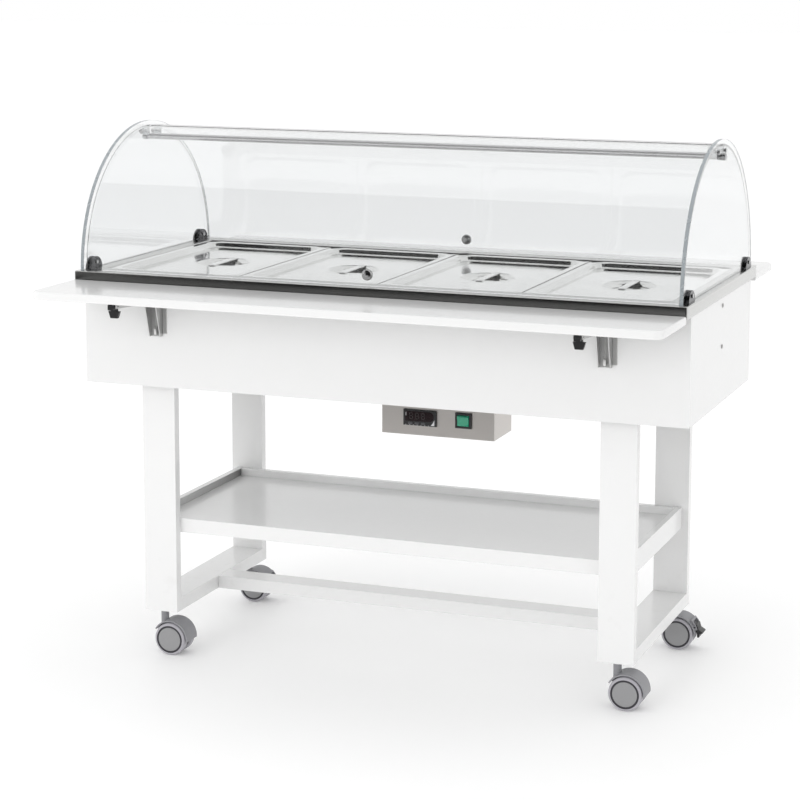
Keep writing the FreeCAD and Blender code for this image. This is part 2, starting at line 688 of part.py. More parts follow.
BOLT_GRIP = 20.0             # length of thread in the rod
ROD_TAPPING = 30.0
ROD_CAP_RADIUS = 8.0
ROD_CAP_SIDE = 8.0
ROD_CAP_HEIGHT = 11.0
PIN_CAP = (5.5, 3.0)
SCREW_CAP = (4.5, 2.5)


def dome_fasteners():
    """Rod bolts, door hinge pins and clamp screws."""
    shank = rod(PANEL_INNER - BOLT_GRIP, 0, ROD_Z, ROD_BOLT_RADIUS, BOLT_GRIP + PANEL_THICK, AXIS_X)
    profile = [(0, 0), (ROD_CAP_RADIUS, 0), (ROD_CAP_RADIUS, ROD_CAP_SIDE),
               (ROD_CAP_RADIUS - 1.5, ROD_CAP_HEIGHT - 1.0), (0, ROD_CAP_HEIGHT)]
    head = turned(profile, Vector(PANEL_OUTER, 0, ROD_Z), AXIS_X)
    pieces = both_ends(fuse([shank, head]))
    x0 = PANEL_INNER - LUG_GAP - LUG_WIDTH - LUG_EASE
    length = PANEL_OUTER - x0
    pin = rod(x0, HINGE_Y, HINGE_Z, HINGE_PIN_RADIUS, length, AXIS_X)
    cap = rod(PANEL_OUTER, HINGE_Y, HINGE_Z, PIN_CAP[0], PIN_CAP[1], AXIS_X)
    pieces += all_corners(fuse([pin, cap]))
    start = PANEL_INNER - CLAMP_THICK
    length = PANEL_THICK + 2 * CLAMP_THICK
    screw = rod(start, CLAMP_Y, CLAMP_SCREW_Z, CLAMP_SCREW_RADIUS, length, AXIS_X)
    cap_radius, cap_height = SCREW_CAP
    cap_out = rod(start + length, CLAMP_Y, CLAMP_SCREW_Z, cap_radius, cap_height, AXIS_X)
    cap_in = rod(start - cap_height, CLAMP_Y, CLAMP_SCREW_Z, cap_radius, cap_height, AXIS_X)
    return pieces + all_corners(fuse([screw, cap_out, cap_in]))


# ---------------------------------------------------------------- folding flaps
CHEEK_THICK = 2.0
ARM_HALF = 9.5
BRACKET_HALF = 14.0
ARM_REACH = 160.0            # flap inner edge to the arm's tip
LEVER_Z = PIVOT_Z + 2.0
LEVER_Y = FLAP_INNER + ARM_REACH - 10.0
LEVER_PIN = 2.0
FLAP_CORNER = 22.0
FLAP_EASE = 4.0
BRACKET_TOP_GAP = 2.0        # bracket's top edge to the flap's underside
BRACKET_BACK = 2.5
BRACKET_LIP = 10.0           # cheek beyond the pivot
CHEEK_DROP = 6.0             # where a cheek starts to narrow, below the pivot
CHEEK_FOOT = 12.0
LATCH_SLOT = (4.0, 22.0)     # radius, height over the bracket's foot
RIVET_HEAD = (6.0, 1.5)
ARM_THICK = 2.0
ARM_DEPTH = 23.0
ARM_TIP_DEPTH = 14.0
ARM_TAIL = 8.0               # arm beyond the pivot
ARM_TAPER = 30.0             # flap inner edge to where the arm starts to narrow
NOSE_REACH = 16.0
LEVER_BACK = 6.0
LEVER_FRONT = 2.0
NOSE_RISE = 4.0
NOSE_DROP = 7.0
PAD_DROP = 11.0
PAD_HEIGHT = 15.0
PAD_TOP = 13.0               # half width of the finger pad at its top and at its foot
PAD_FOOT = 8.5


def front_flap():
    """Long board with rounded outer corners and eased edges."""
    half = FLAP_LENGTH / 2
    board = block(-half, half, -FLAP_OUTER, -FLAP_INNER, FLAP_UNDER, FLAP_TOP)
    corners = []
    for edge in board.Edges:
        box = edge.BoundBox
        if box.ZLength > 1 and box.YMin < -FLAP_OUTER + 1:
            corners.append(edge)
    board = board.makeFillet(FLAP_CORNER, corners)
    rims = []
    for edge in board.Edges:
        box = edge.BoundBox
        level = box.ZLength < 0.01
        if level and box.YMin < -FLAP_INNER - 1:
            rims.append(edge)
    return board.makeFillet(FLAP_EASE, rims)


def wall_bracket(x):
    """Folded steel wall leg: back plate and two cheeks that narrow downwards."""
    face = APRON_FACE
    top = FLAP_UNDER - BRACKET_TOP_GAP
    low = top - BRACKET_HEIGHT
    out = PIVOT_Y + BRACKET_LIP
    outline = [(-face, top), (-out, top), (-out, PIVOT_Z - CHEEK_DROP),
               (-face - CHEEK_FOOT, low), (-face, low)]
    back = block(x - BRACKET_HALF, x + BRACKET_HALF, -face - BRACKET_BACK, -face, low, top)
    inner = BRACKET_HALF - CHEEK_THICK
    cheeks = [plate_yz(outline, x - BRACKET_HALF, x - inner), plate_yz(outline, x + inner, x + BRACKET_HALF)]
    shape = fuse([back] + cheeks)
    pin = rod(x - BRACKET_HALF, -PIVOT_Y, PIVOT_Z, PIVOT_RADIUS, 2 * BRACKET_HALF, AXIS_X)
    radius, rise = LATCH_SLOT
    slot = rod(x, -face - BRACKET_BACK, low + rise, radius, BRACKET_BACK, AXIS_Y)
    return cut(shape, [pin, slot])


def flap_wall_brackets():
    return all_corners(wall_bracket(BRACKET_X))


def flap_pivot_pins():
    """Headed rivets through each bracket's cheeks; the arm turns on them."""
    x0 = BRACKET_X - BRACKET_HALF
    pin = rod(x0, -PIVOT_Y, PIVOT_Z, PIVOT_RADIUS, 2 * BRACKET_HALF, AXIS_X)
    radius, height = RIVET_HEAD
    head = rod(x0 - height, -PIVOT_Y, PIVOT_Z, radius, height, AXIS_X)
    tail = rod(x0 + 2 * BRACKET_HALF, -PIVOT_Y, PIVOT_Z, radius, height, AXIS_X)
    return all_corners(fuse([pin, head, tail]))


def flap_arm(x):
    """Inverted channel screwed under the flap, turning on the bracket pin."""
    inner_end = -PIVOT_Y + ARM_TAIL
    tip = -FLAP_INNER - ARM_REACH
    foot = FLAP_UNDER - ARM_DEPTH
    outline = [(inner_end, FLAP_UNDER), (tip, FLAP_UNDER), (tip, FLAP_UNDER - ARM_TIP_DEPTH),
               (-FLAP_INNER - ARM_TAPER, foot), (inner_end, foot)]
    arm = plate_yz(outline, x - ARM_HALF, x + ARM_HALF)
    inside = ARM_HALF - ARM_THICK
    channel = block(x - inside, x + inside, tip, inner_end, foot - 1.0, FLAP_UNDER - ARM_THICK)
    bore = rod(x - ARM_HALF, -PIVOT_Y, PIVOT_Z, PIVOT_RADIUS + FIT, 2 * ARM_HALF, AXIS_X)
    pin_hole = rod(x - ARM_HALF, -LEVER_Y, LEVER_Z, LEVER_PIN + FIT, 2 * ARM_HALF, AXIS_X)
    return cut(arm, [channel, bore, pin_hole])


def release_lever(x):
    """Black moulded lever in the arm's tip: a nose, a trunnion and a tapered finger pad."""
    inside = ARM_HALF - ARM_THICK - GAP
    front = -LEVER_Y - LEVER_FRONT
    back = -LEVER_Y + LEVER_BACK
    nose = block(x - inside, x + inside, -LEVER_Y - NOSE_REACH, back,
                 LEVER_Z - NOSE_DROP, LEVER_Z + NOSE_RISE)
    trunnion = rod(x - ARM_HALF, -LEVER_Y, LEVER_Z, LEVER_PIN, 2 * ARM_HALF, AXIS_X)
    top = LEVER_Z - PAD_DROP
    low = top - PAD_HEIGHT
    neck = block(x - inside, x + inside, front, back, top - 1.0, LEVER_Z)
    outline = [(x - PAD_TOP, top), (x + PAD_TOP, top), (x + PAD_FOOT, low), (x - PAD_FOOT, low)]
    pad = plate_xz(outline, front, back)
    return fuse([nose, trunnion, neck, pad])


def front_flap_arms():
    return both_ends(flap_arm(BRACKET_X))


def front_release_levers():
    return both_ends(release_lever(BRACKET_X))


# ---------------------------------------------------------------- control box
THERMOSTAT_X = 77.5
THERMOSTAT_Z = 590.0
THERMOSTAT_SIZE = (77.0, 35.0)
THERMOSTAT_BODY = (70.0, 29.0)
BEZEL = 5.0
BUTTON_X = (56.0, 71.0, 86.0)
BUTTON_SIZE = (9.0, 4.5)
BUTTON_Z = THERMOSTAT_Z - 12.0
BUTTON_STAND = 1.2           # how far a button stands out of the bezel
SWITCH_X = 178.0
SWITCH_Z = 591.0
SWITCH_SIZE = (38.0, 34.0)
SWITCH_BODY = (29.0, 28.0)
ROCKER_RADIUS = 12.2
ROCKER_HALF = 13.0
ROCKER_TILT = 8.0
GLAND_X = 200.0
GLAND_Z = 592.0
GLAND_RADIUS = 10.0
LEAD_RADIUS = 5.0
GLAND_TAIL = 14.0
GLAND_FLANGE = 14.0
GLAND_CAP = 12.5
GLAND_NOSE = 9.0
GLAND_LENGTH = 22.0
GLAND_NUT = (13.5, 5.0)      # radius and thickness of the ring nut inside the box


def front_cutout(x, z, size, clearance):
    w = size[0] / 2 + clearance
    h = size[1] / 2 + clearance
    return block(x - w, x + w, -BOX_FRONT - 1.0, -BOX_FRONT + BOX_WALL + 1.0, z - h, z + h)


def control_box():
    """Folded stainless box under the well, open at the top where the closing tray covers it."""
    w = BOX_WALL
    back = -BOX_FRONT + BOX_DEPTH
    outer = block(BOX_X0, BOX_X1, -BOX_FRONT, back, BOX_BOTTOM, BOX_TOP)
    inner = block(BOX_X0 + w, BOX_X1 - w, -BOX_FRONT + w, back - w, BOX_BOTTOM + w, BOX_TOP)
    box = outer.cut(inner)
    box = cut(box, [front_cutout(THERMOSTAT_X, THERMOSTAT_Z, THERMOSTAT_BODY, 0.3),
                    front_cutout(SWITCH_X, SWITCH_Z, SWITCH_BODY, 0.3),
                    rod(GLAND_X, back - w - 1, GLAND_Z, GLAND_RADIUS + FIT, w + 2, AXIS_Y)])
    return box


def button_pocket(x):
    w = BUTTON_SIZE[0] / 2 + 0.3
    h = BUTTON_SIZE[1] / 2 + 0.3
    return block(x - w, x + w, -BOX_FRONT - BEZEL - 1.0, -BOX_FRONT + 3.0, BUTTON_Z - h, BUTTON_Z + h)


def thermostat():
    """Panel thermostat: bezel with a sunk display window, and its housing behind the sheet."""
    w = THERMOSTAT_SIZE[0] / 2
    h = THERMOSTAT_SIZE[1] / 2
    front = -BOX_FRONT - BEZEL
    bezel = block(THERMOSTAT_X - w, THERMOSTAT_X + w, front, -BOX_FRONT, THERMOSTAT_Z - h, THERMOSTAT_Z + h)
    rims = [e for e in bezel.Edges if e.BoundBox.YMax < front + 0.01]
    bezel = bezel.makeFillet(2.0, rims)
    bw = THERMOSTAT_BODY[0] / 2
    bh = THERMOSTAT_BODY[1] / 2
    housing = block(THERMOSTAT_X - bw, THERMOSTAT_X + bw, -BOX_FRONT, -BOX_FRONT + 60.0,
                    THERMOSTAT_Z - bh, THERMOSTAT_Z + bh)
    window = block(THERMOSTAT_X - 30.0, THERMOSTAT_X + 22.0, front, front + 1.2,
                   THERMOSTAT_Z - 5.0, THERMOSTAT_Z + 14.0)
    return cut(fuse([bezel, housing]), [window] + [button_pocket(x) for x in BUTTON_X])


def thermostat_button(x):
    w = BUTTON_SIZE[0] / 2
    h = BUTTON_SIZE[1] / 2
    front = -BOX_FRONT - BEZEL - BUTTON_STAND
    cap = block(x - w, x + w, front, -BOX_FRONT + 1.0, BUTTON_Z - h, BUTTON_Z + h)
    return cap.makeFillet(0.8, [e for e in cap.Edges if e.BoundBox.YMax < front + 0.01])


SWITCH_BEZEL = 4.0
SWITCH_WELL = 14.0           # depth of the rocker's opening behind the sheet
SWITCH_DEPTH = 26.0
ROCKER_Y = -BOX_FRONT - 1.0
ROCKER_GAP = 0.4


def switch_frame():
    """Black switch frame snapped into the sheet, open in front for the rocker."""
    w = SWITCH_SIZE[0] / 2
    h = SWITCH_SIZE[1] / 2
    front = -BOX_FRONT - SWITCH_BEZEL
    bezel = block(SWITCH_X - w, SWITCH_X + w, front, -BOX_FRONT, SWITCH_Z - h, SWITCH_Z + h)
    bezel = bezel.makeFillet(1.5, [e for e in bezel.Edges if e.BoundBox.YMax < front + 0.01])
    bw = SWITCH_BODY[0] / 2
    bh = SWITCH_BODY[1] / 2
    body = block(SWITCH_X - bw, SWITCH_X + bw, -BOX_FRONT, -BOX_FRONT + SWITCH_DEPTH,
                 SWITCH_Z - bh, SWITCH_Z + bh)
    ow = ROCKER_HALF + ROCKER_GAP
    oh = ROCKER_RADIUS + ROCKER_GAP
    opening = block(SWITCH_X - ow, SWITCH_X + ow, front - 1.0, -BOX_FRONT + SWITCH_WELL,
                    SWITCH_Z - oh, SWITCH_Z + oh)
    return fuse([bezel, body]).cut(opening)


def switch_rocker():
    """Rocker with two shallow faces and rounded ends, tilted to its off side."""
    disc = rod(SWITCH_X - ROCKER_HALF, 0, 0, ROCKER_RADIUS, 2 * ROCKER_HALF, AXIS_X)
    outline = [(7.0, 12.0), (-7.0, 12.0), (-7.0, 10.0), (-4.5, 0), (-7.0, -10.0), (-7.0, -12.0), (7.0, -12.0)]
    body = plate_yz(outline, SWITCH_X - ROCKER_HALF, SWITCH_X + ROCKER_HALF)
    rocker = disc.common(body)
    rocker.rotate(Vector(0, 0, 0), AXIS_X, ROCKER_TILT)
    rocker.translate(Vector(0, ROCKER_Y, SWITCH_Z))
    return rocker


def terminal_block():
    """Connection strip on the floor of the control box."""
    floor = BOX_BOTTOM + BOX_WALL
    y = -BOX_FRONT + BOX_DEPTH - 40.0
    strip = block(BOX_X0 + 60.0, BOX_X0 + 124.0, y - 9.0, y + 9.0, floor, floor + 15.0)
    wells = []
    for i in range(6):
        x = BOX_X0 + 66.0 + 10.4 * i
        for side in (-1, 1):
            wells.append(rod(x, y + 5.0 * side, floor + 7.0, 2.4, 9.0, AXIS_Z))
    return cut(strip, wells)


def mains_gland():
    """Cable gland in the back of the control box, drilled for the supply lead."""
    back = -BOX_FRONT + BOX_DEPTH
    neck = GLAND_RADIUS
    profile = [(LEAD_RADIUS, -GLAND_TAIL), (neck, -GLAND_TAIL), (neck, 0), (GLAND_FLANGE, 0),
               (GLAND_FLANGE, 6.0), (GLAND_CAP, 6.5), (GLAND_CAP, 16.0),
               (GLAND_NOSE, GLAND_LENGTH), (LEAD_RADIUS, GLAND_LENGTH)]
    body = turned(profile, Vector(GLAND_X, back, GLAND_Z), AXIS_Y)
    nut = -BOX_WALL - GLAND_NUT[1]
    ring = [(neck, nut), (GLAND_NUT[0], nut), (GLAND_NUT[0], -BOX_WALL), (neck, -BOX_WALL)]
    return [body, turned(ring, Vector(GLAND_X, back, GLAND_Z), AXIS_Y)]


# ---------------------------------------------------------------- drain
VALVE_Z = 618.0
VALVE_STEM = 4.0
SPOUT_Z = 585.0
SPOUT_REACH = 56.0           # from the pipe's axis to the spout's end
SPOUT_SHOULDER = 22.0        # from the pipe's axis to where the hose stops
ELBOW_RADIUS = 12.0
PIPE_WALL = 2.0
VALVE_HALF = 16.0
VALVE_RADIUS = 17.0
VALVE_NUT = (16.0, 8.0, 9.0)     # half across its corners, height, drop under the tray
STEM_NECK = (8.0, 24.0)          # radius and reach of the neck the stem comes out of
STEM_LENGTH = 12.0
STEM_START = STEM_NECK[1] + 1.0
GRIP_BOSS = (9.0, 4.0)
GRIP_LENGTH = 70.0
GRIP_HALF = 6.5
GRIP_THICK = 3.0


def drain_passage(pipe, elbow, tail):
    """Round run from the tank down to an elbow and out to the far side, by the radius of each length."""
    down = rod(DRAIN_X, 0, SPOUT_Z, pipe, TANK_UNDER - SPOUT_Z, AXIS_Z)
    corner = Part.makeSphere(elbow, Vector(DRAIN_X, 0, SPOUT_Z))
    neck = rod(DRAIN_X, 0, SPOUT_Z, elbow, SPOUT_SHOULDER, AXIS_Y)
    spout = rod(DRAIN_X, 0, SPOUT_Z, tail, SPOUT_REACH, AXIS_Y)
    return fuse([down, corner, neck, spout])


def drain_valve_body():
    """Ball valve on the tank's outlet pipe, with a cast elbow and a plain spout for a hose."""
    housing = rod(DRAIN_X, 0, VALVE_Z - VALVE_HALF, VALVE_RADIUS, 2 * VALVE_HALF, AXIS_Z)
    nut_radius, nut_height, nut_drop = VALVE_NUT
    nut = hexagon(Vector(DRAIN_X, 0, TRAY_LEVEL - nut_drop), nut_radius, nut_height)
    neck_radius, neck_reach = STEM_NECK
    neck = rod(DRAIN_X, -neck_reach, VALVE_Z, neck_radius, neck_reach, AXIS_Y)
    stem = rod(DRAIN_X, -neck_reach, VALVE_Z, VALVE_STEM + FIT, STEM_LENGTH, AXIS_Y)
    body = fuse([drain_passage(DRAIN_RADIUS, ELBOW_RADIUS, DRAIN_RADIUS), housing, nut, neck])
    bore = DRAIN_RADIUS - PIPE_WALL
    return cut(body, [drain_passage(bore, bore, bore), stem])


def drain_valve_lever():
    """Flat handle on the valve stem; level when shut."""
    stem = rod(DRAIN_X, -STEM_START, VALVE_Z, VALVE_STEM, STEM_LENGTH, AXIS_Y)
    radius, thick = GRIP_BOSS
    front = STEM_START + thick
    boss = rod(DRAIN_X, -front, VALVE_Z, radius, thick, AXIS_Y)
    outer = front - (thick - GRIP_THICK) / 2
    handle = block(DRAIN_X, DRAIN_X + GRIP_LENGTH, -outer, -outer + GRIP_THICK,
                   VALVE_Z - GRIP_HALF, VALVE_Z + GRIP_HALF)
    return fuse([stem, boss, handle])


# ---------------------------------------------------------------- casters
SWIVEL_RADIUS = 5.0
SWIVEL_LOW = 79.0
WEB_HALF = 6.0
DISC_INNER = WEB_HALF + 2.5
HOOD_INNER = WHEEL_RADIUS + 2.5
HOOD_OUTER = HOOD_INNER + 3.0
HOOD_HALF = DISC_INNER + WHEEL_WIDTH - 2.5
HOOD_START = -5.0            # angles round the axle; 0 points away from the stem
HOOD_END = 150.0
SPINE_START = 55.0
EAR_START = 15.0
EAR_END = 48.0
EAR_HALF = 20.0
EAR_RISE = 5.0
LEVER_ROOM = 16.0            # half the slot in the hood that the brake lever swings in
LEVER_ROOM_TOP = WHEEL_RADIUS + 31.5
STEM_FLANGE = (9.5, 4.0)
SWIVEL_BOSS = 9.0
AXLE_RADIUS = 4.0
BRAKE_ANGLE = 24.0
BRAKE_RADIUS = HOOD_INNER + 4.0
BRAKE_PIN = 2.0
BRAKE_BARREL = 3.0
LEVER_HALF = 15.0
LEVER_OUTLINE = ((-1.0, 3.0), (0.5, 6.5), (4.5, 6.0), (8.0, -5.5), (18.0, -11.5), (18.5, -13.5),
                 (11.0, -16.5), (9.5, -24.5), (5.5, -24.5), (4.0, -14.0), (-1.0, -3.0))


def at_caster(shapes, x, y):
    """Copies of shapes drawn about the swivel axis, moved to one caster."""
    moved = []
    for shape in shapes:
        copy = shape.copy()
        copy.translate(Vector(x, y, 0))
        moved.append(copy)
    return moved


def wedge(start, end, radius, half):
    """Sector about the axle from one angle to another, seen along -Y; 0 points away from the stem."""
    steps = 8
    points = [(CASTER_TRAIL, WHEEL_RADIUS)]
    for i in range(steps + 1):
        angle = math.radians(start + (end - start) * i / steps)
        x = CASTER_TRAIL + 2 * radius * math.cos(angle)
        z = WHEEL_RADIUS + 2 * radius * math.sin(angle)
        points.append((x, z))
    return plate_xz(points, -half, half)


def around_axle(radius, half):
    return rod(CASTER_TRAIL, -half, WHEEL_RADIUS, radius, 2 * half, AXIS_Y)


def caster_stem():
    """Threaded stem, flange and swivel pin; the housing turns on the pin."""
    stem = rod(0, 0, CASTER_HEIGHT, CASTER_STEM_RADIUS, CASTER_STEM_LENGTH, AXIS_Z)
    radius, thick = STEM_FLANGE
    flange = rod(0, 0, CASTER_HEIGHT - thick, radius, thick, AXIS_Z)
    pin = rod(0, 0, SWIVEL_LOW, SWIVEL_RADIUS, CASTER_HEIGHT - thick - SWIVEL_LOW, AXIS_Z)
    return fuse([stem, flange, pin])


def brake_pivot():
    angle = math.radians(BRAKE_ANGLE)
    x = CASTER_TRAIL + BRAKE_RADIUS * math.cos(angle)
    z = WHEEL_RADIUS + BRAKE_RADIUS * math.sin(angle)
    return x, z


def caster_housing(with_brake):
    """Moulded hood over the twin wheels, with a middle web for the axle and a swivel boss."""
    web = around_axle(WHEEL_RADIUS - 9.0, WEB_HALF)
    spine = around_axle(HOOD_OUTER, WEB_HALF).common(wedge(SPINE_START, HOOD_END, HOOD_OUTER, WEB_HALF))
    ring = around_axle(HOOD_OUTER, HOOD_HALF).cut(around_axle(HOOD_INNER, HOOD_HALF + 1))
    hood = ring.common(wedge(HOOD_START, HOOD_END, HOOD_OUTER, HOOD_HALF))
    top = CASTER_HEIGHT - STEM_FLANGE[1] - GAP
    boss = rod(0, 0, WHEEL_RADIUS, SWIVEL_BOSS, top - WHEEL_RADIUS, AXIS_Z)
    boss = boss.cut(around_axle(HOOD_INNER, HOOD_HALF + 1))
    side = block(-20, 20, -20, 20, 0, WHEEL_RADIUS + 12.0)
    bores = [around_axle(AXLE_RADIUS + FIT, WEB_HALF + 1),
             rod(0, 0, SWIVEL_LOW - 1.0, SWIVEL_RADIUS + FIT, CASTER_HEIGHT, AXIS_Z)]
    if with_brake:
        x, z = brake_pivot()
        shell = around_axle(HOOD_OUTER + EAR_RISE, EAR_HALF).cut(around_axle(HOOD_INNER, EAR_HALF + 1.0))
        ears = shell.common(wedge(EAR_START, EAR_END, HOOD_OUTER, EAR_HALF))
        slot = block(0, 100, -LEVER_ROOM, LEVER_ROOM, 0, LEVER_ROOM_TOP)
        hood = fuse([hood, ears]).cut(slot)
        bores.append(rod(x, -EAR_HALF - 1.0, z, BRAKE_PIN + FIT, 2 * EAR_HALF + 2.0, AXIS_Y))
    return cut(fuse([web, spine, hood, boss.cut(side)]), bores)


def caster_wheels():
    """Two discs with a sunk face and a rounded tread, pressed on one axle."""
    w = WHEEL_WIDTH
    r = WHEEL_RADIUS
    profile = [(AXLE_RADIUS, 0), (r - 2.0, 0), (r, 2.0), (r, w - 4.0), (r - 1.2, w - 1.2), (r - 4.0, w),
               (r - 8.0, w), (r - 10.0, w - 2.0), (13.0, w - 2.0), (11.0, w - 0.5), (AXLE_RADIUS, w - 0.5)]
    disc = turned(profile, Vector(CASTER_TRAIL, DISC_INNER, WHEEL_RADIUS), AXIS_Y)
    axle = around_axle(AXLE_RADIUS, DISC_INNER + w - 1.0)
    return [disc, mirror_y(disc), axle]


def brake_lever():
    """Foot lever at the back of the hood: a pressing nose, and a lobe above and below it."""
    x, z = brake_pivot()
    barrel = rod(x, -LEVER_HALF - 0.5, z, BRAKE_BARREL, 2 * LEVER_HALF + 1.0, AXIS_Y)
    pin_half = EAR_HALF - 0.5
    stubs = rod(x, -pin_half, z, BRAKE_PIN, 2 * pin_half, AXIS_Y)
    paddle = [(x + out, z + up) for out, up in LEVER_OUTLINE]
    return fuse([barrel, stubs, plate_xz(paddle, -LEVER_HALF, LEVER_HALF)])


CASTERS = (("front_left", -CASTER_X, -CASTER_Y), ("front_right", CASTER_X, -CASTER_Y),
           ("rear_left", -CASTER_X, CASTER_Y), ("rear_right", CASTER_X, CASTER_Y))


def write_casters():
    stems = []
    for name, x, y in CASTERS:
        braked = name.startswith("rear")
        stems += at_caster([caster_stem()], x, y)
        write(name + "_caster_housing", at_caster([caster_housing(braked)], x, y))
        write(name + "_caster_wheels", at_caster(caster_wheels(), x, y))
        if braked:
            write(name + "_brake_lever", at_caster([brake_lever()], x, y))
    write("caster_stems", stems)


# ---------------------------------------------------------------- build
def build():
    os.makedirs("parts", exist_ok=True)
    write("posts", posts())
    write("foot_boards", foot_boards())
    write("stretcher_board", stretcher_board())
    write("apron_boards", apron_boards())
    write("frame_screws", frame_screws())
    write("shelf_tray", shelf_tray())
    write("deck", deck())
    write("divider_bars", divider_bars())
    write("water_tank", water_tank())
    write("heating_element", heating_element())
    write("tank_insulation", tank_insulation())
    write("underside_tray", underside_tray())
    write("temperature_probe", temperature_probe())
    for number, x in enumerate(well_middles(), 1):
        write("pan_%d" % number, pan(x))
        write("lid_%d" % number, lid(x))
    write("end_panels", end_panels())
    write("top_strip", top_strip())
    write("panel_clamps", panel_clamps())
    write("dome_rod", dome_rod())
    write("dome_fasteners", dome_fasteners())
    door = front_door()
    fittings = front_door_fittings()
    write("front_door", door)
    write("rear_door", mirror_y(door))
    write("front_door_fittings", fittings)
    write("rear_door_fittings", [mirror_y(piece) for piece in fittings])
    flap = front_flap()
    arms = front_flap_arms()
    levers = front_release_levers()
    write("front_flap", flap)
    write("rear_flap", mirror_y(flap))
    write("front_flap_arms", arms)
    write("rear_flap_arms", [mirror_y(piece) for piece in arms])
    write("front_release_levers", levers)
    write("rear_release_levers", [mirror_y(piece) for piece in levers])
    write("flap_wall_brackets", flap_wall_brackets())
    write("flap_pivot_pins", flap_pivot_pins())
    write("control_box", control_box())
    write("thermostat", thermostat())
    for number, x in enumerate(BUTTON_X, 1):
        write("thermostat_button_%d" % number, thermostat_button(x))
    write("switch_frame", switch_frame())
    write("switch_rocker", switch_rocker())
    write("terminal_block", terminal_block())
    write("mains_gland", mains_gland())
    write("drain_valve_body", drain_valve_body())
    write("drain_valve_lever", drain_valve_lever())
    write_casters()


build()
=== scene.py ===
"""Mobile steam table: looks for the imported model, in metres, +Z up, origin on the floor."""
import json
import math

import bmesh
import bpy
import numpy as np
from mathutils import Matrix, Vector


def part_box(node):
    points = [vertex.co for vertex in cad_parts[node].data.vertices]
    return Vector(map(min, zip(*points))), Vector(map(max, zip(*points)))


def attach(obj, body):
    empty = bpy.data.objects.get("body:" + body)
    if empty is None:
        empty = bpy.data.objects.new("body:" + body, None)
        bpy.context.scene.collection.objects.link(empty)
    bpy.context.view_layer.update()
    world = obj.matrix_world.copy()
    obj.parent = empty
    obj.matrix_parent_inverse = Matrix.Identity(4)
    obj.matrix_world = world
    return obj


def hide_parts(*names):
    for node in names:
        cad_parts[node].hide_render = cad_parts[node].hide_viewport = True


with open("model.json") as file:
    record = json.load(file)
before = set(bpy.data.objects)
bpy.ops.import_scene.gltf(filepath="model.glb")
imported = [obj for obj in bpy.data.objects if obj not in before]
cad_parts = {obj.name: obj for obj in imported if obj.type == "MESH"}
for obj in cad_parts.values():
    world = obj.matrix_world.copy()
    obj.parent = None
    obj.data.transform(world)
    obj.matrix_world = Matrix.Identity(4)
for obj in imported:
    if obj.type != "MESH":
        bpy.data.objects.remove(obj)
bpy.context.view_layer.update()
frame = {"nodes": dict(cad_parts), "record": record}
nodes = frame["nodes"]

# ------------------------------------------------------------------ white boards
# Posts, foot boards, stretcher, apron boards and the lower shelf: faced board sprayed with white gloss
# lacquer, glued and bolted.  The arrises are eased, and the low boards carry faint scuffs near the floor.


def put(tree, kind, links=None, **settings):
    """Adds one shader node; links are its inputs, given as values or as sockets."""
    made = tree.nodes.new(kind)
    for key, value in settings.items():
        setattr(made, key, value)
    for key, value in (links or {}).items():
        socket = made.inputs[key]
        if isinstance(value, bpy.types.NodeSocket):
            tree.links.new(value, socket)
        else:
            socket.default_value = value
    return made


def new_group(name, inputs, outputs):
    """Empty shader node group with named sockets; returns it with its input and output nodes."""
    group = bpy.data.node_groups.new(name, "ShaderNodeTree")
    for label, kind, value in inputs:
        socket = group.interface.new_socket(name=label, in_out="INPUT", socket_type="NodeSocket" + kind)
        socket.default_value = value
    for label, kind in outputs:
        group.interface.new_socket(name=label, in_out="OUTPUT", socket_type="NodeSocket" + kind)
    return group, put(group, "NodeGroupInput"), put(group, "NodeGroupOutput")


def grain_group():
    """Noise on object coordinates, stretched by a vector: it varies colour, roughness and height."""
    group, given, out = new_group(
        "surface_grain",
        [("Color", "Color", (0.5, 0.5, 0.5, 1)), ("Stretch", "Vector", (100, 100, 100)),
         ("Tone", "Float", 0.05), ("Roughness", "Float", 0.3), ("Spread", "Float", 0.05)],
        [("Color", "Color"), ("Roughness", "Float"), ("Height", "Float")])
    place = put(group, "ShaderNodeTexCoord").outputs["Object"]
    lines = put(group, "ShaderNodeVectorMath", {0: place, 1: given.outputs["Stretch"]},
                operation="MULTIPLY")
    fine = put(group, "ShaderNodeTexNoise", {"Vector": lines.outputs[0], "Scale": 1.0, "Detail": 3.0})
    broad = put(group, "ShaderNodeTexNoise", {"Vector": place, "Scale": 4.0, "Detail": 4.0})
    both = put(group, "ShaderNodeMath", {0: fine.outputs["Fac"], 1: broad.outputs["Fac"]}, operation="ADD")
    swing = put(group, "ShaderNodeMath", {0: both.outputs[0], 1: 1.0}, operation="SUBTRACT")
    tone = put(group, "ShaderNodeMath", {0: swing.outputs[0], 1: given.outputs["Tone"]}, operation="MULTIPLY")
    bright = put(group, "ShaderNodeMath", {0: tone.outputs[0], 1: 1.0}, operation="ADD")
    color = put(group, "ShaderNodeVectorMath", {0: given.outputs["Color"], 1: bright.outputs[0]},
                operation="MULTIPLY")
    rough = put(group, "ShaderNodeMath", {0: swing.outputs[0], 1: given.outputs["Spread"],
                                          2: given.outputs["Roughness"]}, operation="MULTIPLY_ADD")
    group.links.new(color.outputs[0], out.inputs["Color"])
    group.links.new(rough.outputs[0], out.inputs["Roughness"])
    group.links.new(fine.outputs["Fac"], out.inputs["Height"])
    return group


surface_grain = grain_group()


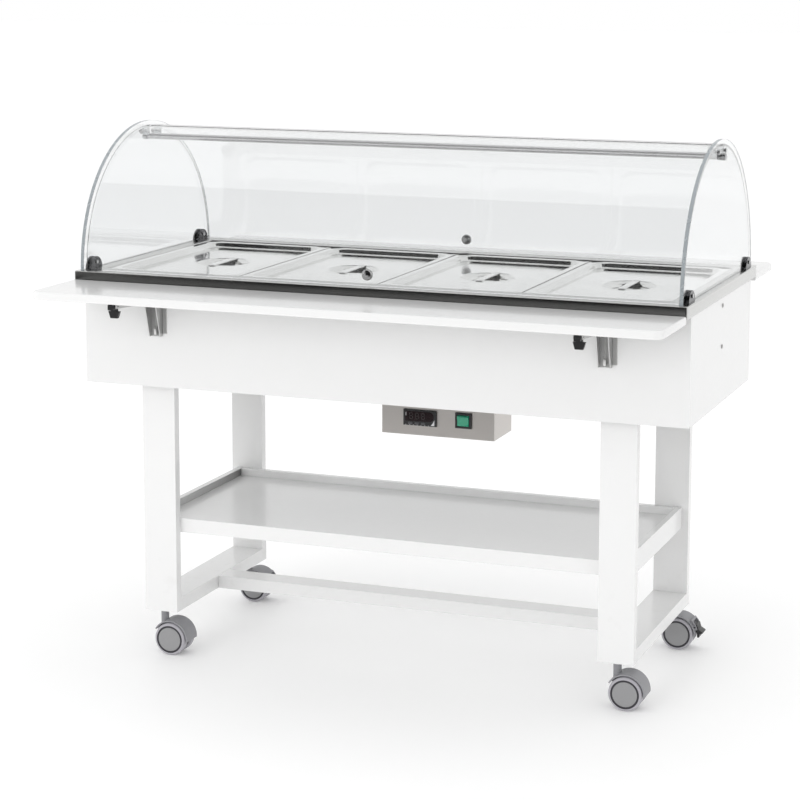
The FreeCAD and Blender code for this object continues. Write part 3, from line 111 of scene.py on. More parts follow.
def finish_for(name, color, roughness, stretch=(100, 100, 100), tone=0.05, spread=0.05, depth=0.00002,
               **shader):
    """Material on the shared grain; shader holds the Principled inputs that are the same all over."""
    made = bpy.data.materials.new(name)
    made.use_nodes = True
    tree = made.node_tree
    tree.nodes.clear()
    grain = put(tree, "ShaderNodeGroup", node_tree=surface_grain)
    for label, value in (("Color", (*color, 1)), ("Stretch", stretch), ("Tone", tone),
                         ("Roughness", roughness), ("Spread", spread)):
        grain.inputs[label].default_value = value
    bump = put(tree, "ShaderNodeBump", {"Height": grain.outputs["Height"], "Distance": depth,
                                        "Strength": 1.0})
    links = {"Base Color": grain.outputs["Color"], "Roughness": grain.outputs["Roughness"],
             "Normal": bump.outputs["Normal"]}
    body = put(tree, "ShaderNodeBsdfPrincipled", {**links, **shader})
    put(tree, "ShaderNodeOutputMaterial", {"Surface": body.outputs[0]})
    return made


def scuff_low_boards(material, height):
    """Darkens a board material towards the floor: noise times how far a point lies below height."""
    foot_level_full, strongest, scuff_colour = 0.09, 0.10, (0.45, 0.43, 0.40, 1)
    tree = material.node_tree
    group, given, out = new_group("low_scuffs", [("Color", "Color", (1, 1, 1, 1)), ("Height", "Float", 0.3)],
                                  [("Color", "Color")])
    place = put(group, "ShaderNodeTexCoord").outputs["Object"]
    level = put(group, "ShaderNodeSeparateXYZ", {0: place}).outputs["Z"]
    low = put(group, "ShaderNodeMapRange", {"Value": level, "From Min": given.outputs["Height"],
                                            "From Max": foot_level_full})
    marks = put(group, "ShaderNodeTexNoise", {"Vector": place, "Scale": 38.0, "Detail": 6.0})
    sharp = put(group, "ShaderNodeMapRange", {"Value": marks.outputs["Fac"], "From Min": 0.58,
                                              "From Max": 0.72})
    mask = put(group, "ShaderNodeMath", {0: low.outputs[0], 1: sharp.outputs[0]}, operation="MULTIPLY")
    weight = put(group, "ShaderNodeMath", {0: mask.outputs[0], 1: strongest}, operation="MULTIPLY")
    mixed = put(group, "ShaderNodeMix", {0: weight.outputs[0], 6: given.outputs["Color"],
                                         7: scuff_colour}, data_type="RGBA")
    group.links.new(mixed.outputs[2], out.inputs["Color"])
    grain = next(n for n in tree.nodes if n.type == "GROUP")
    body = next(n for n in tree.nodes if n.type == "BSDF_PRINCIPLED")
    marked = put(tree, "ShaderNodeGroup", node_tree=group)
    tree.links.new(grain.outputs["Color"], marked.inputs["Color"])
    marked.inputs["Height"].default_value = height
    tree.links.new(marked.outputs["Color"], body.inputs["Base Color"])


white_lacquer = finish_for("white_lacquer", (0.80, 0.80, 0.798), 0.24, stretch=(160, 160, 160), tone=0.012,
                           spread=0.08, depth=0.00004, **{"Coat Weight": 0.35, "Coat Roughness": 0.08})
scuff_low_boards(white_lacquer, 0.34)


def link(mesh, name, material, body):
    """Object for a finished mesh, smooth but for its sharp edges, riding on a body."""
    piece = bpy.data.objects.new(name, mesh)
    bpy.context.scene.collection.objects.link(piece)
    mesh.materials.append(material)
    mesh.polygons.foreach_set("use_smooth", np.ones(len(mesh.polygons), dtype=bool))
    mesh.set_sharp_from_angle(angle=math.radians(38))
    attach(piece, body)
    return piece


def body_of_node(node):
    """Name of the body that a CAD node rides on."""
    return next(b for b, members in frame["record"]["behaviour"]["bodies"].items() if node in members)


def round_edges(piece, width, segments=2):
    """Bevel on every edge sharper than 40 degrees."""
    bevel = piece.modifiers.new("rounded_edges", "BEVEL")
    bevel.width = width
    bevel.segments = segments
    bevel.limit_method = "ANGLE"
    bevel.angle_limit = math.radians(40)
    bevel.harden_normals = True


def eased(node, name, width, material, segments=2):
    """Copy of a CAD node, welded, its flat faces joined, its arrises rounded; it stands for the node."""
    shape = bmesh.new()
    shape.from_mesh(nodes[node].data)
    bmesh.ops.remove_doubles(shape, verts=shape.verts, dist=0.00001)
    bmesh.ops.dissolve_limit(shape, angle_limit=math.radians(1), verts=shape.verts, edges=shape.edges)
    mesh = bpy.data.meshes.new(name)
    shape.to_mesh(mesh)
    shape.free()
    piece = link(mesh, name, material, body_of_node(node))
    round_edges(piece, width, segments)
    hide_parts(node)
    return piece


for board in ("posts", "foot_boards", "stretcher_board", "apron_boards", "shelf_tray"):
    eased(board, board + "_eased", 0.0012, white_lacquer)

# ------------------------------------------------------------------ folding flaps
# Two long serving boards in the same white lacquer, with round outer corners and soft edges.
# Each is screwed to the arms of its two brackets and hangs beside the apron when it is folded.
for flap in ("front_flap", "rear_flap"):
    eased(flap, flap + "_board", 0.0010, white_lacquer)

# ------------------------------------------------------------------ stainless deck
# One pressed stainless sheet: a folded skirt with a hem, a soft top edge, a shallow recess and the ledge
# that the pans hang on.  It drops over the apron boards and is fixed with sealant.
deck_low, deck_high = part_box("deck")


def rectangle_rings(stations, corner_steps=10):
    """Rounded-rectangle outlines from (half x, half y, corner radius, z): four quarter circles per ring."""
    s = np.asarray(stations, dtype=float)
    quarter = np.linspace(0, math.pi / 2, corner_steps + 1)
    turn = quarter[None, :] + np.arange(4)[:, None] * math.pi / 2
    sign_x = np.array([1, -1, -1, 1])[:, None]
    sign_y = np.array([1, 1, -1, -1])[:, None]
    half_x, half_y, radius, z = (s[:, i][:, None, None] for i in range(4))
    x = sign_x * (half_x - radius) + radius * np.cos(turn)
    y = sign_y * (half_y - radius) + radius * np.sin(turn)
    rings = np.stack([x, y, np.broadcast_to(z, x.shape)], axis=-1)
    return rings.reshape(len(s), -1, 3)


def woven(points, caps):
    """Vertices and faces of a grid of points (rows, columns, xyz).

    Each face joins column j to j+1 between rows i and i+1, and the last column to the first.  A cap is
    "fan", one point in the middle of an end row, or "band", faces across a row from j to the last but j.
    """
    rows, columns, _ = points.shape
    verts = points.reshape(-1, 3)
    index = np.arange(rows * columns).reshape(rows, columns)
    around = np.roll(index, -1, axis=1)
    quads = np.stack([index[:-1], around[:-1], around[1:], index[1:]], axis=-1).reshape(-1, 4)
    faces = quads.tolist()
    for end, kind in zip((0, -1), caps):
        row = index[end] if end else index[end][::-1]
        if kind == "band":
            half = columns // 2
            j = np.arange(half - 1)
            across = [row[j], row[j + 1], row[columns - 2 - j], row[columns - 1 - j]]
            faces += np.stack(across, axis=-1).tolist()
        elif kind == "fan":
            verts = np.vstack([verts, points[end].mean(axis=0)])
            hub = np.full(columns, len(verts) - 1)
            faces += np.stack([row, np.roll(row, -1), hub], axis=-1).tolist()
    return verts, faces


def surface(name, grids, material, body, outward=True):
    """One piece from several grids, each a (points, caps) tuple."""
    verts, faces, start = [], [], 0
    for grid in grids:
        points, polygons = woven(*grid)
        verts.append(points)
        faces += [[start + corner for corner in polygon] for polygon in polygons]
        start += len(points)
    mesh = bpy.data.meshes.new(name)
    mesh.from_pydata(np.vstack(verts).tolist(), [], faces)
    if outward:
        shape = bmesh.new()
        shape.from_mesh(mesh)
        bmesh.ops.remove_doubles(shape, verts=shape.verts, dist=0.000002)
        bmesh.ops.recalc_face_normals(shape, faces=shape.faces)
        shape.to_mesh(mesh)
        shape.free()
    return link(mesh, name, material, body)


def arc_steps(centre, radius, start, end, count):
    """Points (a, b) on an arc: centre + radius (cos t, sin t), t from start to end degrees."""
    t = np.radians(np.linspace(start, end, count))
    return np.stack([centre[0] + radius * np.cos(t), centre[1] + radius * np.sin(t)], axis=-1)


def sheet_rings(profile, half, corner):
    """Rings from a section (inset, z): half sizes and corner radius less the inset, radius 1 mm or more."""
    p = np.asarray(profile)
    radius = np.maximum(corner - p[:, 0], 0.001)
    return rectangle_rings(np.stack([half[0] - p[:, 0], half[1] - p[:, 0], radius, p[:, 1]], axis=-1))


deck_steel = finish_for("deck_steel", (0.60, 0.60, 0.59), 0.24, stretch=(3, 900, 900), tone=0.06, spread=0.16,
                        depth=0.000012, Metallic=1.0)


def darken_front(material, face_y, level, shade):
    """Paints the front skirt darker in its base colour, below a level and within a sliver of the front face.

    This stands in for a reflection.  The sheet itself is bare steel, with no film or coating there, so it
    shows from every side and doesn't belong in the material: the lights and shader should do it.
    """
    sliver, reach, right_gain = 0.0015, 2.1, 1.6
    tree = material.node_tree
    place = put(tree, "ShaderNodeSeparateXYZ", {0: put(tree, "ShaderNodeTexCoord").outputs["Object"]})
    near = put(tree, "ShaderNodeMath", {0: place.outputs["Y"], 1: face_y + sliver}, operation="LESS_THAN")
    under = put(tree, "ShaderNodeMath", {0: place.outputs["Z"], 1: level}, operation="LESS_THAN")
    both = put(tree, "ShaderNodeMath", {0: near.outputs[0], 1: under.outputs[0]}, operation="MULTIPLY")
    along = put(tree, "ShaderNodeMapRange",
                {"Value": place.outputs["X"], "From Min": face_y * reach, "From Max": -face_y * reach,
                 "To Min": shade, "To Max": shade * right_gain})
    grain = next(n for n in tree.nodes if n.type == "GROUP")
    dark = put(tree, "ShaderNodeVectorMath", {0: grain.outputs["Color"], 1: along.outputs[0]},
               operation="MULTIPLY")
    body = next(n for n in tree.nodes if n.type == "BSDF_PRINCIPLED")
    mixed = put(tree, "ShaderNodeMix", {0: both.outputs[0], 6: grain.outputs["Color"], 7: dark.outputs[0]},
                data_type="RGBA")
    tree.links.new(mixed.outputs[2], body.inputs["Base Color"])


deck_top = deck_high[2]
skirt_low = deck_low[2]
darken_front(deck_steel, deck_low[1], deck_top - 0.002, 0.22)
half_deck = np.array([deck_high[0], deck_high[1]])
recess_half = np.array([0.652, 0.266])
opening_half = np.array([0.639, 0.253])
sheet, hem_fold, top_fold, lip, hem = 0.0015, 0.0015, 0.0025, 0.0008, 0.011
ledge_top = deck_top - 0.004
hem_low, hem_high = skirt_low + 0.0020, skirt_low + 0.0035
skirt = np.vstack([[(hem, hem_low)], [(0.0025, skirt_low)],
                   arc_steps((hem_fold, skirt_low + hem_fold), hem_fold, 270, 180, 4),
                   arc_steps((top_fold, deck_top - top_fold), top_fold, 180, 90, 5)])
recess = np.vstack([arc_steps((-lip, deck_top - lip), lip, 90, 0, 4),
                    [(lip, ledge_top + lip)], [(2 * lip, ledge_top)]])
outer = sheet_rings(skirt, half_deck, 0.006)
inner = sheet_rings(recess, recess_half, 0.010)
edge = rectangle_rings([(*half, radius, z) for half, radius, z in (
    (opening_half, 0.018, ledge_top), (opening_half, 0.018, ledge_top - sheet),
    (recess_half + sheet, 0.0115, ledge_top - sheet), (recess_half + sheet, 0.0115, deck_top - sheet),
    (half_deck - sheet, 0.0045, deck_top - sheet), (half_deck - sheet, 0.0045, hem_high),
    (half_deck - hem, 0.002, hem_high), (half_deck - hem, 0.002, hem_low))])
deck = surface("deck_sheet", [(np.concatenate([outer, inner, edge]), ())], deck_steel, "frame")
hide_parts("deck")

# ------------------------------------------------------------------ well parts
# Divider bars, water tank, element, probe, insulation and closing tray, seen from below or with the pans out.
# Drawn and folded stainless, a tubular element, mineral wool and a galvanised tray screwed to the rails.
well_steel = finish_for("well_steel", (0.64, 0.64, 0.63), 0.32, stretch=(300, 8, 300), tone=0.08, spread=0.14,
                        depth=0.00001, Metallic=1.0)
element_steel = finish_for("element_steel", (0.42, 0.39, 0.35), 0.38, stretch=(60, 60, 60), tone=0.35,
                           spread=0.2, Metallic=1.0)
mineral_wool = finish_for("mineral_wool", (0.62, 0.52, 0.26), 0.95, stretch=(260, 260, 900), tone=0.6,
                          spread=0.05, depth=0.0008)
galvanised = finish_for("galvanised_sheet", (0.52, 0.54, 0.55), 0.45, stretch=(70, 70, 70), tone=0.3,
                        spread=0.3, Metallic=1.0)


def dress(material, *names):
    """Gives CAD nodes a new material in every slot."""
    for name in names:
        for place in nodes[name].material_slots:
            place.material = material


dress(well_steel, "divider_bars", "water_tank")
dress(element_steel, "heating_element", "temperature_probe")
dress(mineral_wool, "tank_insulation")
dress(galvanised, "underside_tray")

# ------------------------------------------------------------------ pans
# Four gastronorm 1/1 pans, 150 mm deep, drawn from 1 mm stainless and polished inside.
# Each hangs by its rim on the ledge and the divider bars.
pan_steel = finish_for("pan_steel", (0.68, 0.68, 0.67), 0.2, stretch=(200, 200, 30), tone=0.05, spread=0.1,
                       depth=0.000008, Metallic=1.0)
for number in range(1, 5):
    low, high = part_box("pan_%d" % number)
    middle = (low[0] + high[0]) / 2
    rim_x, rim_y = (high[0] - low[0]) / 2, (high[1] - low[1]) / 2
    wall_x, wall_y = rim_x - 0.0115, rim_y - 0.014
    top, floor, thin = high[2], low[2], 0.001
    fillet, upright = 0.012, 0.034
    foot = arc_steps((0.0, 0.0), fillet, 0, -90, 7)
    outside = [(wall_x - fillet + a, wall_y - fillet + a, upright - fillet + a, floor + fillet + b)
               for a, b in foot]
    inside = [(x - thin, y - thin, r - thin, z + thin) for x, y, r, z in outside[::-1]]
    stations = ([(0.02, 0.02, 0.01, floor)] + outside[::-1]
                + [(wall_x, wall_y, upright, top - 0.005),
                   (wall_x + 0.002, wall_y + 0.002, upright, top - thin),
                   (rim_x - 0.0006, rim_y - 0.0006, 0.012, top - thin), (rim_x, rim_y, 0.012, top - 0.0006),
                   (rim_x - 0.0004, rim_y - 0.0004, 0.012, top),
                   (wall_x + 0.002, wall_y + 0.002, upright, top),
                   (wall_x - thin, wall_y - thin, 0.033, top - 0.004)]
                + inside + [(0.02, 0.02, 0.01, floor + thin)])
    rings = rectangle_rings(stations)
    rings[..., 0] += middle
    pan = surface("pan_%d_drawn" % number, [(rings, ("fan", "fan"))], pan_steel, "pan_%d_loose" % number)
    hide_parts("pan_%d" % number)

# ------------------------------------------------------------------ lids
# Four pressed covers in bright stainless: a flat rim, a sunk field with round corners and a dished middle.
# A flat bar is spot welded across the dish as the handle.
field_drop = 0.012
lid_steel = finish_for("lid_steel", (0.80, 0.80, 0.79), 0.10, stretch=(500, 20, 500), tone=0.03, spread=0.07,
                       depth=0.000004, Metallic=1.0)
handle_steel = finish_for("handle_steel", (0.78, 0.78, 0.77), 0.16, stretch=(600, 10, 600), tone=0.04,
                          spread=0.1, Metallic=1.0)


def blended_rings(stations, columns=96):
    """Rings that pass from a rounded rectangle to a circle.

    A station is (half x, half y, corner radius, circle radius, share, z); a point is the rectangle's
    point at that place along the outline, moved by share towards the circle's point at its own angle.
    """
    s = np.asarray(stations, dtype=float)
    steps = columns // 4 - 1
    rings = rectangle_rings(s[:, [0, 1, 2, 5]], corner_steps=steps)
    angle = np.arctan2(rings[-1, :, 1], rings[-1, :, 0])
    circle = np.stack([np.cos(angle), np.sin(angle)], axis=-1)[None] * s[:, 3][:, None, None]
    share = s[:, 4][:, None, None]
    rings[..., :2] = rings[..., :2] * (1 - share) + circle * share
    return rings


def lid_stations(low, high):
    """Section of a lid from its edge to the bottom of the dish, as stations for blended_rings."""
    half_x, half_y = (high[0] - low[0]) / 2, (high[1] - low[1]) / 2
    top = high[2]
    field = top - field_drop
    edge_x, edge_y = half_x - 0.017, half_y - 0.017
    dish, depth = 0.058, 0.016
    outer = [(half_x - 0.0003, half_y - 0.0003, 0.011, dish, 0, top - 0.0010),
             (half_x, half_y, 0.011, dish, 0, top - 0.0005),
             (half_x - 0.0006, half_y - 0.0006, 0.011, dish, 0, top)]
    shoulder = [(edge_x + 0.0035 - a, edge_y + 0.0035 - a, 0.032, dish, 0, top - 0.0035 + b)
                for a, b in arc_steps((0, 0), 0.0035, 90, 20, 6)]
    foot = [(edge_x - 0.0065 + a, edge_y - 0.0065 + a, 0.029, dish, 0, field + 0.005 + b)
            for a, b in arc_steps((0, 0), 0.005, -20, -90, 6)]
    foot_radius, ease = 0.051, 0.005
    flare = np.linspace(0.0, 1.0, 5)[1:]
    side = [(dish - 0.0008 - (dish - foot_radius) * part, (depth - ease) * part) for part in flare]
    round_foot = [(side[-1][0] - ease + a, depth - ease - b) for a, b in arc_steps((0, 0), ease, -15, -90, 6)]
    radii, drop = zip(*(side + round_foot + [(0.034, depth), (0.018, depth), (0.006, depth)]))
    square = [(0.10, 0.19, 0.05, 0.10, 0.25, field), (0.08, 0.12, 0.05, 0.075, 0.7, field),
              (0.065, 0.065, 0.060, 0.0645, 1, field), (0.06, 0.06, 0.055, 0.0615, 1, field + 0.0004),
              (0.06, 0.06, 0.055, 0.0595, 1, field + 0.0002), (0.058, 0.058, 0.05, 0.0582, 1, field - 0.0006)]
    bowl = [(r, r, r * 0.9, r, 1, field - d) for r, d in zip(radii, drop)]
    return outer + shoulder + foot + square + bowl


for number in range(1, 5):
    low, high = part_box("lid_%d" % number)
    middle = (low[0] + high[0]) / 2
    rings = blended_rings(lid_stations(low, high))
    rings[..., 0] += middle
    lid = surface("lid_%d_pressed" % number, [(rings, (None, "fan"))], lid_steel, "lid_%d_loose" % number,
                  outward=False)
    wall = lid.modifiers.new("sheet_thickness", "SOLIDIFY")
    wall.thickness = 0.0009
    wall.offset = -1
    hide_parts("lid_%d" % number)
    field = high[2] - field_drop
    along = np.array([-0.066, -0.0655, -0.064, -0.060, 0.060, 0.064, 0.0655, 0.066])
    lift = np.array([0.0000, 0.0008, 0.0015, 0.0019, 0.0019, 0.0015, 0.0008, 0.0000])
    narrow = np.array([0.0055, 0.0070, 0.0078, 0.0080, 0.0080, 0.0078, 0.0070, 0.0055])
    across = np.array([(-1, 0), (-1, 0.7), (-0.93, 1), (0.93, 1), (1, 0.7), (1, 0)])
    points = np.empty((len(along), len(across), 3))
    points[..., 0] = middle + narrow[:, None] * across[None, :, 0]
    points[..., 1] = along[:, None]
    points[..., 2] = field + 0.0007 + across[None, :, 1] * (0.0006 + lift[:, None])
    bar = surface("lid_%d_handle" % number, [(points, ("fan", "fan"))], handle_steel, "lid_%d_loose" % number)

# ------------------------------------------------------------------ dome
# Two half-ellipse end panels, two curved lift-up doors and a fixed ridge strip, in clear cast acrylic.
# The panels' cut edges are greyer and less clear than their faces; the doors hang on pins near the ridge.
acrylic = finish_for("acrylic", (0.945, 0.952, 0.955), 0.015, stretch=(6, 6, 6), tone=0.004, spread=0.012,
                     depth=0.000002, IOR=1.49, **{"Transmission Weight": 1.0})
rim_acrylic = finish_for("acrylic_rim", (0.56, 0.61, 0.64), 0.26, stretch=(60, 60, 60), tone=0.12, spread=0.2,
                         IOR=1.49, **{"Transmission Weight": 0.45})
panel_low, panel_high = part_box("end_panels")
half_depth, foot_level, ridge = panel_high[1], panel_low[2], panel_high[2]
dome_rise = ridge - foot_level
panel_thick = 0.008


def carried(outline, axis, stations):
    """Section (a, b) repeated at each station along an axis; a and b take the other two axes in order."""
    outline = np.asarray(outline, dtype=float)
    points = np.empty((len(stations), len(outline), 3))
    others = [i for i in range(3) if i != axis]
    points[..., axis] = np.asarray(stations)[:, None]
    points[..., others[0]] = outline[None, :, 0]
    points[..., others[1]] = outline[None, :, 1]
    return points


arch = np.radians(np.linspace(0, 180, 120))
arch = np.stack([half_depth * np.cos(arch), foot_level + dome_rise * np.sin(arch)], axis=-1)
panels = surface("end_panels_clear",
                 [(carried(arch, 0, (side * panel_high[0], side * (panel_high[0] - panel_thick))),
                   ("band", "band")) for side in (-1, 1)], acrylic, "frame")
panels.data.materials.append(rim_acrylic)
for polygon in panels.data.polygons:
    polygon.material_index = int(abs(polygon.normal[0]) < 0.5)
round_edges(panels, 0.0009)
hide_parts("end_panels")

skin_inset = 0.010
skin_thick = 0.005


def skin_section(start_y, end_level, count):
    """Closed section of the curved skin: down its outer ellipse from start_y to a level, up the inner."""
    sides = []
    for inset in (skin_inset, skin_inset + skin_thick):
        wide, tall = half_depth - inset, dome_rise - inset
        first = math.asin(start_y / wide)
        last = math.acos((end_level - foot_level) / tall)
        turn = np.linspace(first, last, count)
        sides.append(np.stack([wide * np.sin(turn), foot_level + tall * np.cos(turn)], axis=-1))
    return np.vstack([sides[0], sides[1][::-1]])


for name, sign in (("front_door", -1), ("rear_door", 1)):
    low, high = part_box(name)
    top_y = min(abs(low[1]), abs(high[1]))
    section = skin_section(top_y, low[2], 64) * (sign, 1)
    door = surface(name + "_clear", [(carried(section, 0, (low[0], high[0])), ("band", "band"))], acrylic,
                   name + "_leaf")
    round_edges(door, 0.0008)
    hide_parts(name)

low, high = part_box("top_strip")
turn = np.linspace(-high[1], high[1], 18)
rows = [foot_level + (dome_rise - inset) * np.sqrt(1 - (turn / (half_depth - inset)) ** 2)
        for inset in (skin_inset, skin_inset + skin_thick)]
section = np.vstack([np.stack([turn, rows[0]], axis=-1), np.stack([turn, rows[1]], axis=-1)[::-1]])
strip = surface("top_strip_clear", [(carried(section, 0, (low[0], high[0])), ("band", "band"))], acrylic,
                "frame")
round_edges(strip, 0.0006)
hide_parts("top_strip")

# ------------------------------------------------------------------ dome rod and fixings
# A polished stainless tie rod between the panels, with domed bolts, hinge pins and clamp screws.
# The half-round feet that hold the panels down are pressed and dark nickelled.
polished = finish_for("polished_rod", (0.46, 0.46, 0.465), 0.10, stretch=(20, 700, 700), tone=0.03,
                      spread=0.06, depth=0.000003, Metallic=1.0)
clamp_metal = finish_for("clamp_metal", (0.10, 0.10, 0.105), 0.24, stretch=(160, 160, 160), tone=0.2,
                         spread=0.2, Metallic=1.0)
low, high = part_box("dome_rod")
rod_radius, rod_level = high[1], (low[2] + high[2]) / 2
circle = arc_steps((0.0, rod_level), rod_radius, 0, 360, 41)[:-1]
rod = surface("dome_rod_polished", [(carried(circle, 0, (low[0], high[0])), ("fan", "fan"))], polished,
              "frame")
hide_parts("dome_rod")
dress(polished, "dome_fasteners")
eased("panel_clamps", "panel_clamps_pressed", 0.0008, clamp_metal)


def turned(profile, centre, axis, columns=48):
    """Profile of (radius, place along) turned about an axis through centre, as rings of points."""
    p = np.asarray(profile, dtype=float)
    angle = np.linspace(0, 2 * math.pi, columns, endpoint=False)
    others = [i for i in range(3) if i != axis]
    points = np.empty((len(p), columns, 3))
    points[..., axis] = centre[axis] + p[:, 1][:, None]
    points[..., others[0]] = centre[others[0]] + p[:, 0][:, None] * np.cos(angle)
    points[..., others[1]] = centre[others[1]] + p[:, 0][:, None] * np.sin(angle)
    return points


# ------------------------------------------------------------------ door knobs and lugs
# Clear moulded hinge lugs cemented inside each door, and a turned steel knob screwed through the sheet.
# The knob carries a small polished cap over its screw.
knob_metal = finish_for("door_knob_metal", (0.42, 0.42, 0.42), 0.16, stretch=(20, 500, 20), tone=0.05,
                        spread=0.1, Metallic=1.0)
fitting = finish_for("door_fitting", (0.86, 0.90, 0.92), 0.06, stretch=(40, 40, 40), tone=0.02, spread=0.05,
                     IOR=1.49, **{"Transmission Weight": 0.8})
for name, sign in (("front_door_fittings", -1), ("rear_door_fittings", 1)):
    moulded = eased(name, name + "_moulded", 0.0003, fitting)
    moulded.data.materials.append(knob_metal)
    for polygon in moulded.data.polygons:
        polygon.material_index = int(abs(polygon.center[0]) < 0.05)
    low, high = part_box(name)
    outer = abs(low[1]) if sign < 0 else high[1]
    knob_level = low[2] + 0.012
    cap_height = 0.0018
    cap = [(0.0001, 0.0), (0.0050, 0.0), (0.0050, 0.0004), (0.0042, 0.0012), (0.0024, 0.0017),
           (0.0001, cap_height)]
    cap = [(radius, sign * (place - cap_height)) for radius, place in cap]
    button = surface(name + "_cap", [(turned(cap, (0, sign * outer, knob_level), 1), ("fan", "fan"))],
                     polished, name.replace("_fittings", "_leaf"))

# ------------------------------------------------------------------ board screws
# Zinc plated furniture screws through the apron ends and rails, and the rivets that the flap arms turn on.
screw_steel = finish_for("screw_steel", (0.40, 0.40, 0.39), 0.28, stretch=(300, 300, 300), tone=0.15,
                         spread=0.2, Metallic=1.0)
dress(screw_steel, "frame_screws", "flap_pivot_pins")

# ------------------------------------------------------------------ flap brackets
# Folded steel wall legs that narrow downwards, the arms under the flaps and the black release levers.
# Each leg has a pressed rib down its middle, a flat stiffening plate beside it and a small latch hook.
bracket_steel = finish_for("bracket_steel", (0.60, 0.60, 0.595), 0.36, stretch=(90, 90, 400), tone=0.12,
                           spread=0.2, depth=0.00002, Metallic=0.75)
plate_steel = finish_for("bracket_plate", (0.66, 0.66, 0.65), 0.36, stretch=(90, 90, 400), tone=0.06,
                         spread=0.2, Metallic=0.8)
eased("flap_wall_brackets", "flap_wall_legs", 0.0005, bracket_steel)
for flap in ("front", "rear"):
    eased(flap + "_flap_arms", flap + "_flap_channels", 0.0005, bracket_steel)


def box_grid(low, high):
    """Box as a four-sided section carried up Z."""
    (x0, y0, z0), (x1, y1, z1) = low, high
    return carried([(x0, y0), (x1, y0), (x1, y1), (x0, y1)], 2, (z0, z1)), ("band", "band")


leg_low, leg_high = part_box("flap_wall_brackets")
leg_half = 0.014
leg_x = leg_high[0] - leg_half
wall_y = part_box("apron_boards")[1][1]
ribs, plates, hooks = [], [], []
for side in (-1, 1):
    for end in (-1, 1):
        x = end * leg_x
        reach = sorted((side * (wall_y + 0.0025), side * (wall_y + 0.0042)))
        ribs.append(box_grid((x - 0.0028, reach[0], leg_low[2] + 0.010),
                             (x + 0.0028, reach[1], leg_high[2] - 0.026)))
        reach = sorted((side * wall_y, side * (wall_y + 0.002)))
        plates.append(box_grid((x + leg_half + 0.0006, reach[0], leg_low[2] + 0.006),
                               (x + leg_half + 0.0105, reach[1], leg_high[2] - 0.006)))
        hook = [(0.0115, 0.018), (0.0145, 0.018), (0.0145, 0.008), (0.0125, 0.004), (0.0085, 0.003),
                (0.0085, 0.006), (0.0105, 0.0072), (0.0115, 0.0095)]
        hook = [(side * (wall_y + out - 0.004), leg_low[2] + up) for out, up in hook]
        hooks.append((carried(hook, 0, (x - 0.003, x + 0.003)), ("band", "band")))
for name, grids, material in (("flap_leg_ribs", ribs, plate_steel), ("flap_leg_plates", plates, plate_steel),
                              ("flap_leg_hooks", hooks, plate_steel)):
    piece = surface(name, grids, material, "frame")
    round_edges(piece, 0.0004)

black_plastic = finish_for("black_plastic", (0.018, 0.018, 0.019), 0.38, stretch=(500, 500, 500), tone=0.2,
                           spread=0.15, depth=0.00004)
for flap in ("front", "rear"):
    eased(flap + "_release_levers", flap + "_release_pads", 0.0007, black_plastic)

# ------------------------------------------------------------------ control box
# Folded stainless box with a warm brushed face, spot welded at its corners and closed by the tray above.
# It carries the thermostat and the switch, and inside it the ivory connection strip.
box_steel = finish_for("box_steel", (0.62, 0.590, 0.565), 0.36, stretch=(4, 4, 800), tone=0.07, spread=0.16,
                       depth=0.00001, Metallic=1.0)
eased("control_box", "control_box_folded", 0.0010, box_steel, 3)
terminal_plastic = finish_for("terminal_plastic", (0.78, 0.77, 0.68), 0.45, tone=0.03)
dress(terminal_plastic, "terminal_block")
dress(black_plastic, "mains_gland")

# ------------------------------------------------------------------ thermostat
# Black moulded bezel with a smoked window that is round at its right end, three keys, a row of small
# legend marks under the window, one beside it, and a pale corner inlay.  The display's segments are unlit.
eased("thermostat", "thermostat_bezel", 0.0008, black_plastic, 3)
key_plastic = finish_for("key_plastic", (0.075, 0.075, 0.08), 0.42, stretch=(500, 500, 500), tone=0.1,
                         depth=0.00003)
for number in (1, 2, 3):
    eased("thermostat_button_%d" % number, "thermostat_key_%d" % number, 0.0006, key_plastic)
smoked = finish_for("smoked_window", (0.014, 0.008, 0.009), 0.08, tone=0.1, spread=0.04,
                    **{"Coat Weight": 0.6, "Coat Roughness": 0.03})
bezel_low, bezel_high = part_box("thermostat")
face_y = bezel_low[1]
middle_x, middle_z = (bezel_low[0] + bezel_high[0]) / 2, (bezel_low[2] + bezel_high[2]) / 2
round_end = [(0.0225 + 0.0105 * math.cos(turn), 0.0036 + 0.0110 * math.sin(turn))
             for turn in np.radians(np.linspace(-90, 90, 15))]
outline = [(-0.0330, 0.0146), (-0.0340, 0.0136), (-0.0340, -0.0064), (-0.0330, -0.0074)] + round_end
outline = [(middle_x + x, middle_z + z) for x, z in outline]
window = surface("thermostat_window",
                 [(carried(outline, 1, (face_y - 0.0003, face_y + 0.0012)), ("band", "band"))],
                 smoked, "frame")
round_edges(window, 0.0002)
segment_plastic = finish_for("unlit_segments", (0.040, 0.036, 0.036), 0.3, tone=0.1)
stroke, row_pitch = 0.0010, 0.0065
strokes = []
for digit in range(3):
    left = middle_x - 0.0240 + digit * 0.0140
    base = middle_z - 0.0022
    for row in range(3):
        level = base + row * row_pitch
        strokes.append(((left + stroke, level - 0.0005), (left + 0.0070, level + 0.0005)))
    for column in range(2):
        for row in range(2):
            x = left + 0.0003 + column * 0.0070
            z = base + row * row_pitch + stroke
            strokes.append(((x, z), (x + stroke, z + 0.0045)))
segments = surface("thermostat_segments",
                   [box_grid((a[0], face_y - 0.0005, a[1]), (b[0], face_y - 0.0003, b[1]))
                    for a, b in strokes], segment_plastic, "frame")
mark_paint = finish_for("legend_marks", (0.55, 0.55, 0.56), 0.5, tone=0.05)
spots = [(-0.0325 + step * 0.0088, -0.0164, 0.0018, 0.0012) for step in range(7)]
spots.append((-0.0320, 0.0042, 0.0010, 0.0080))
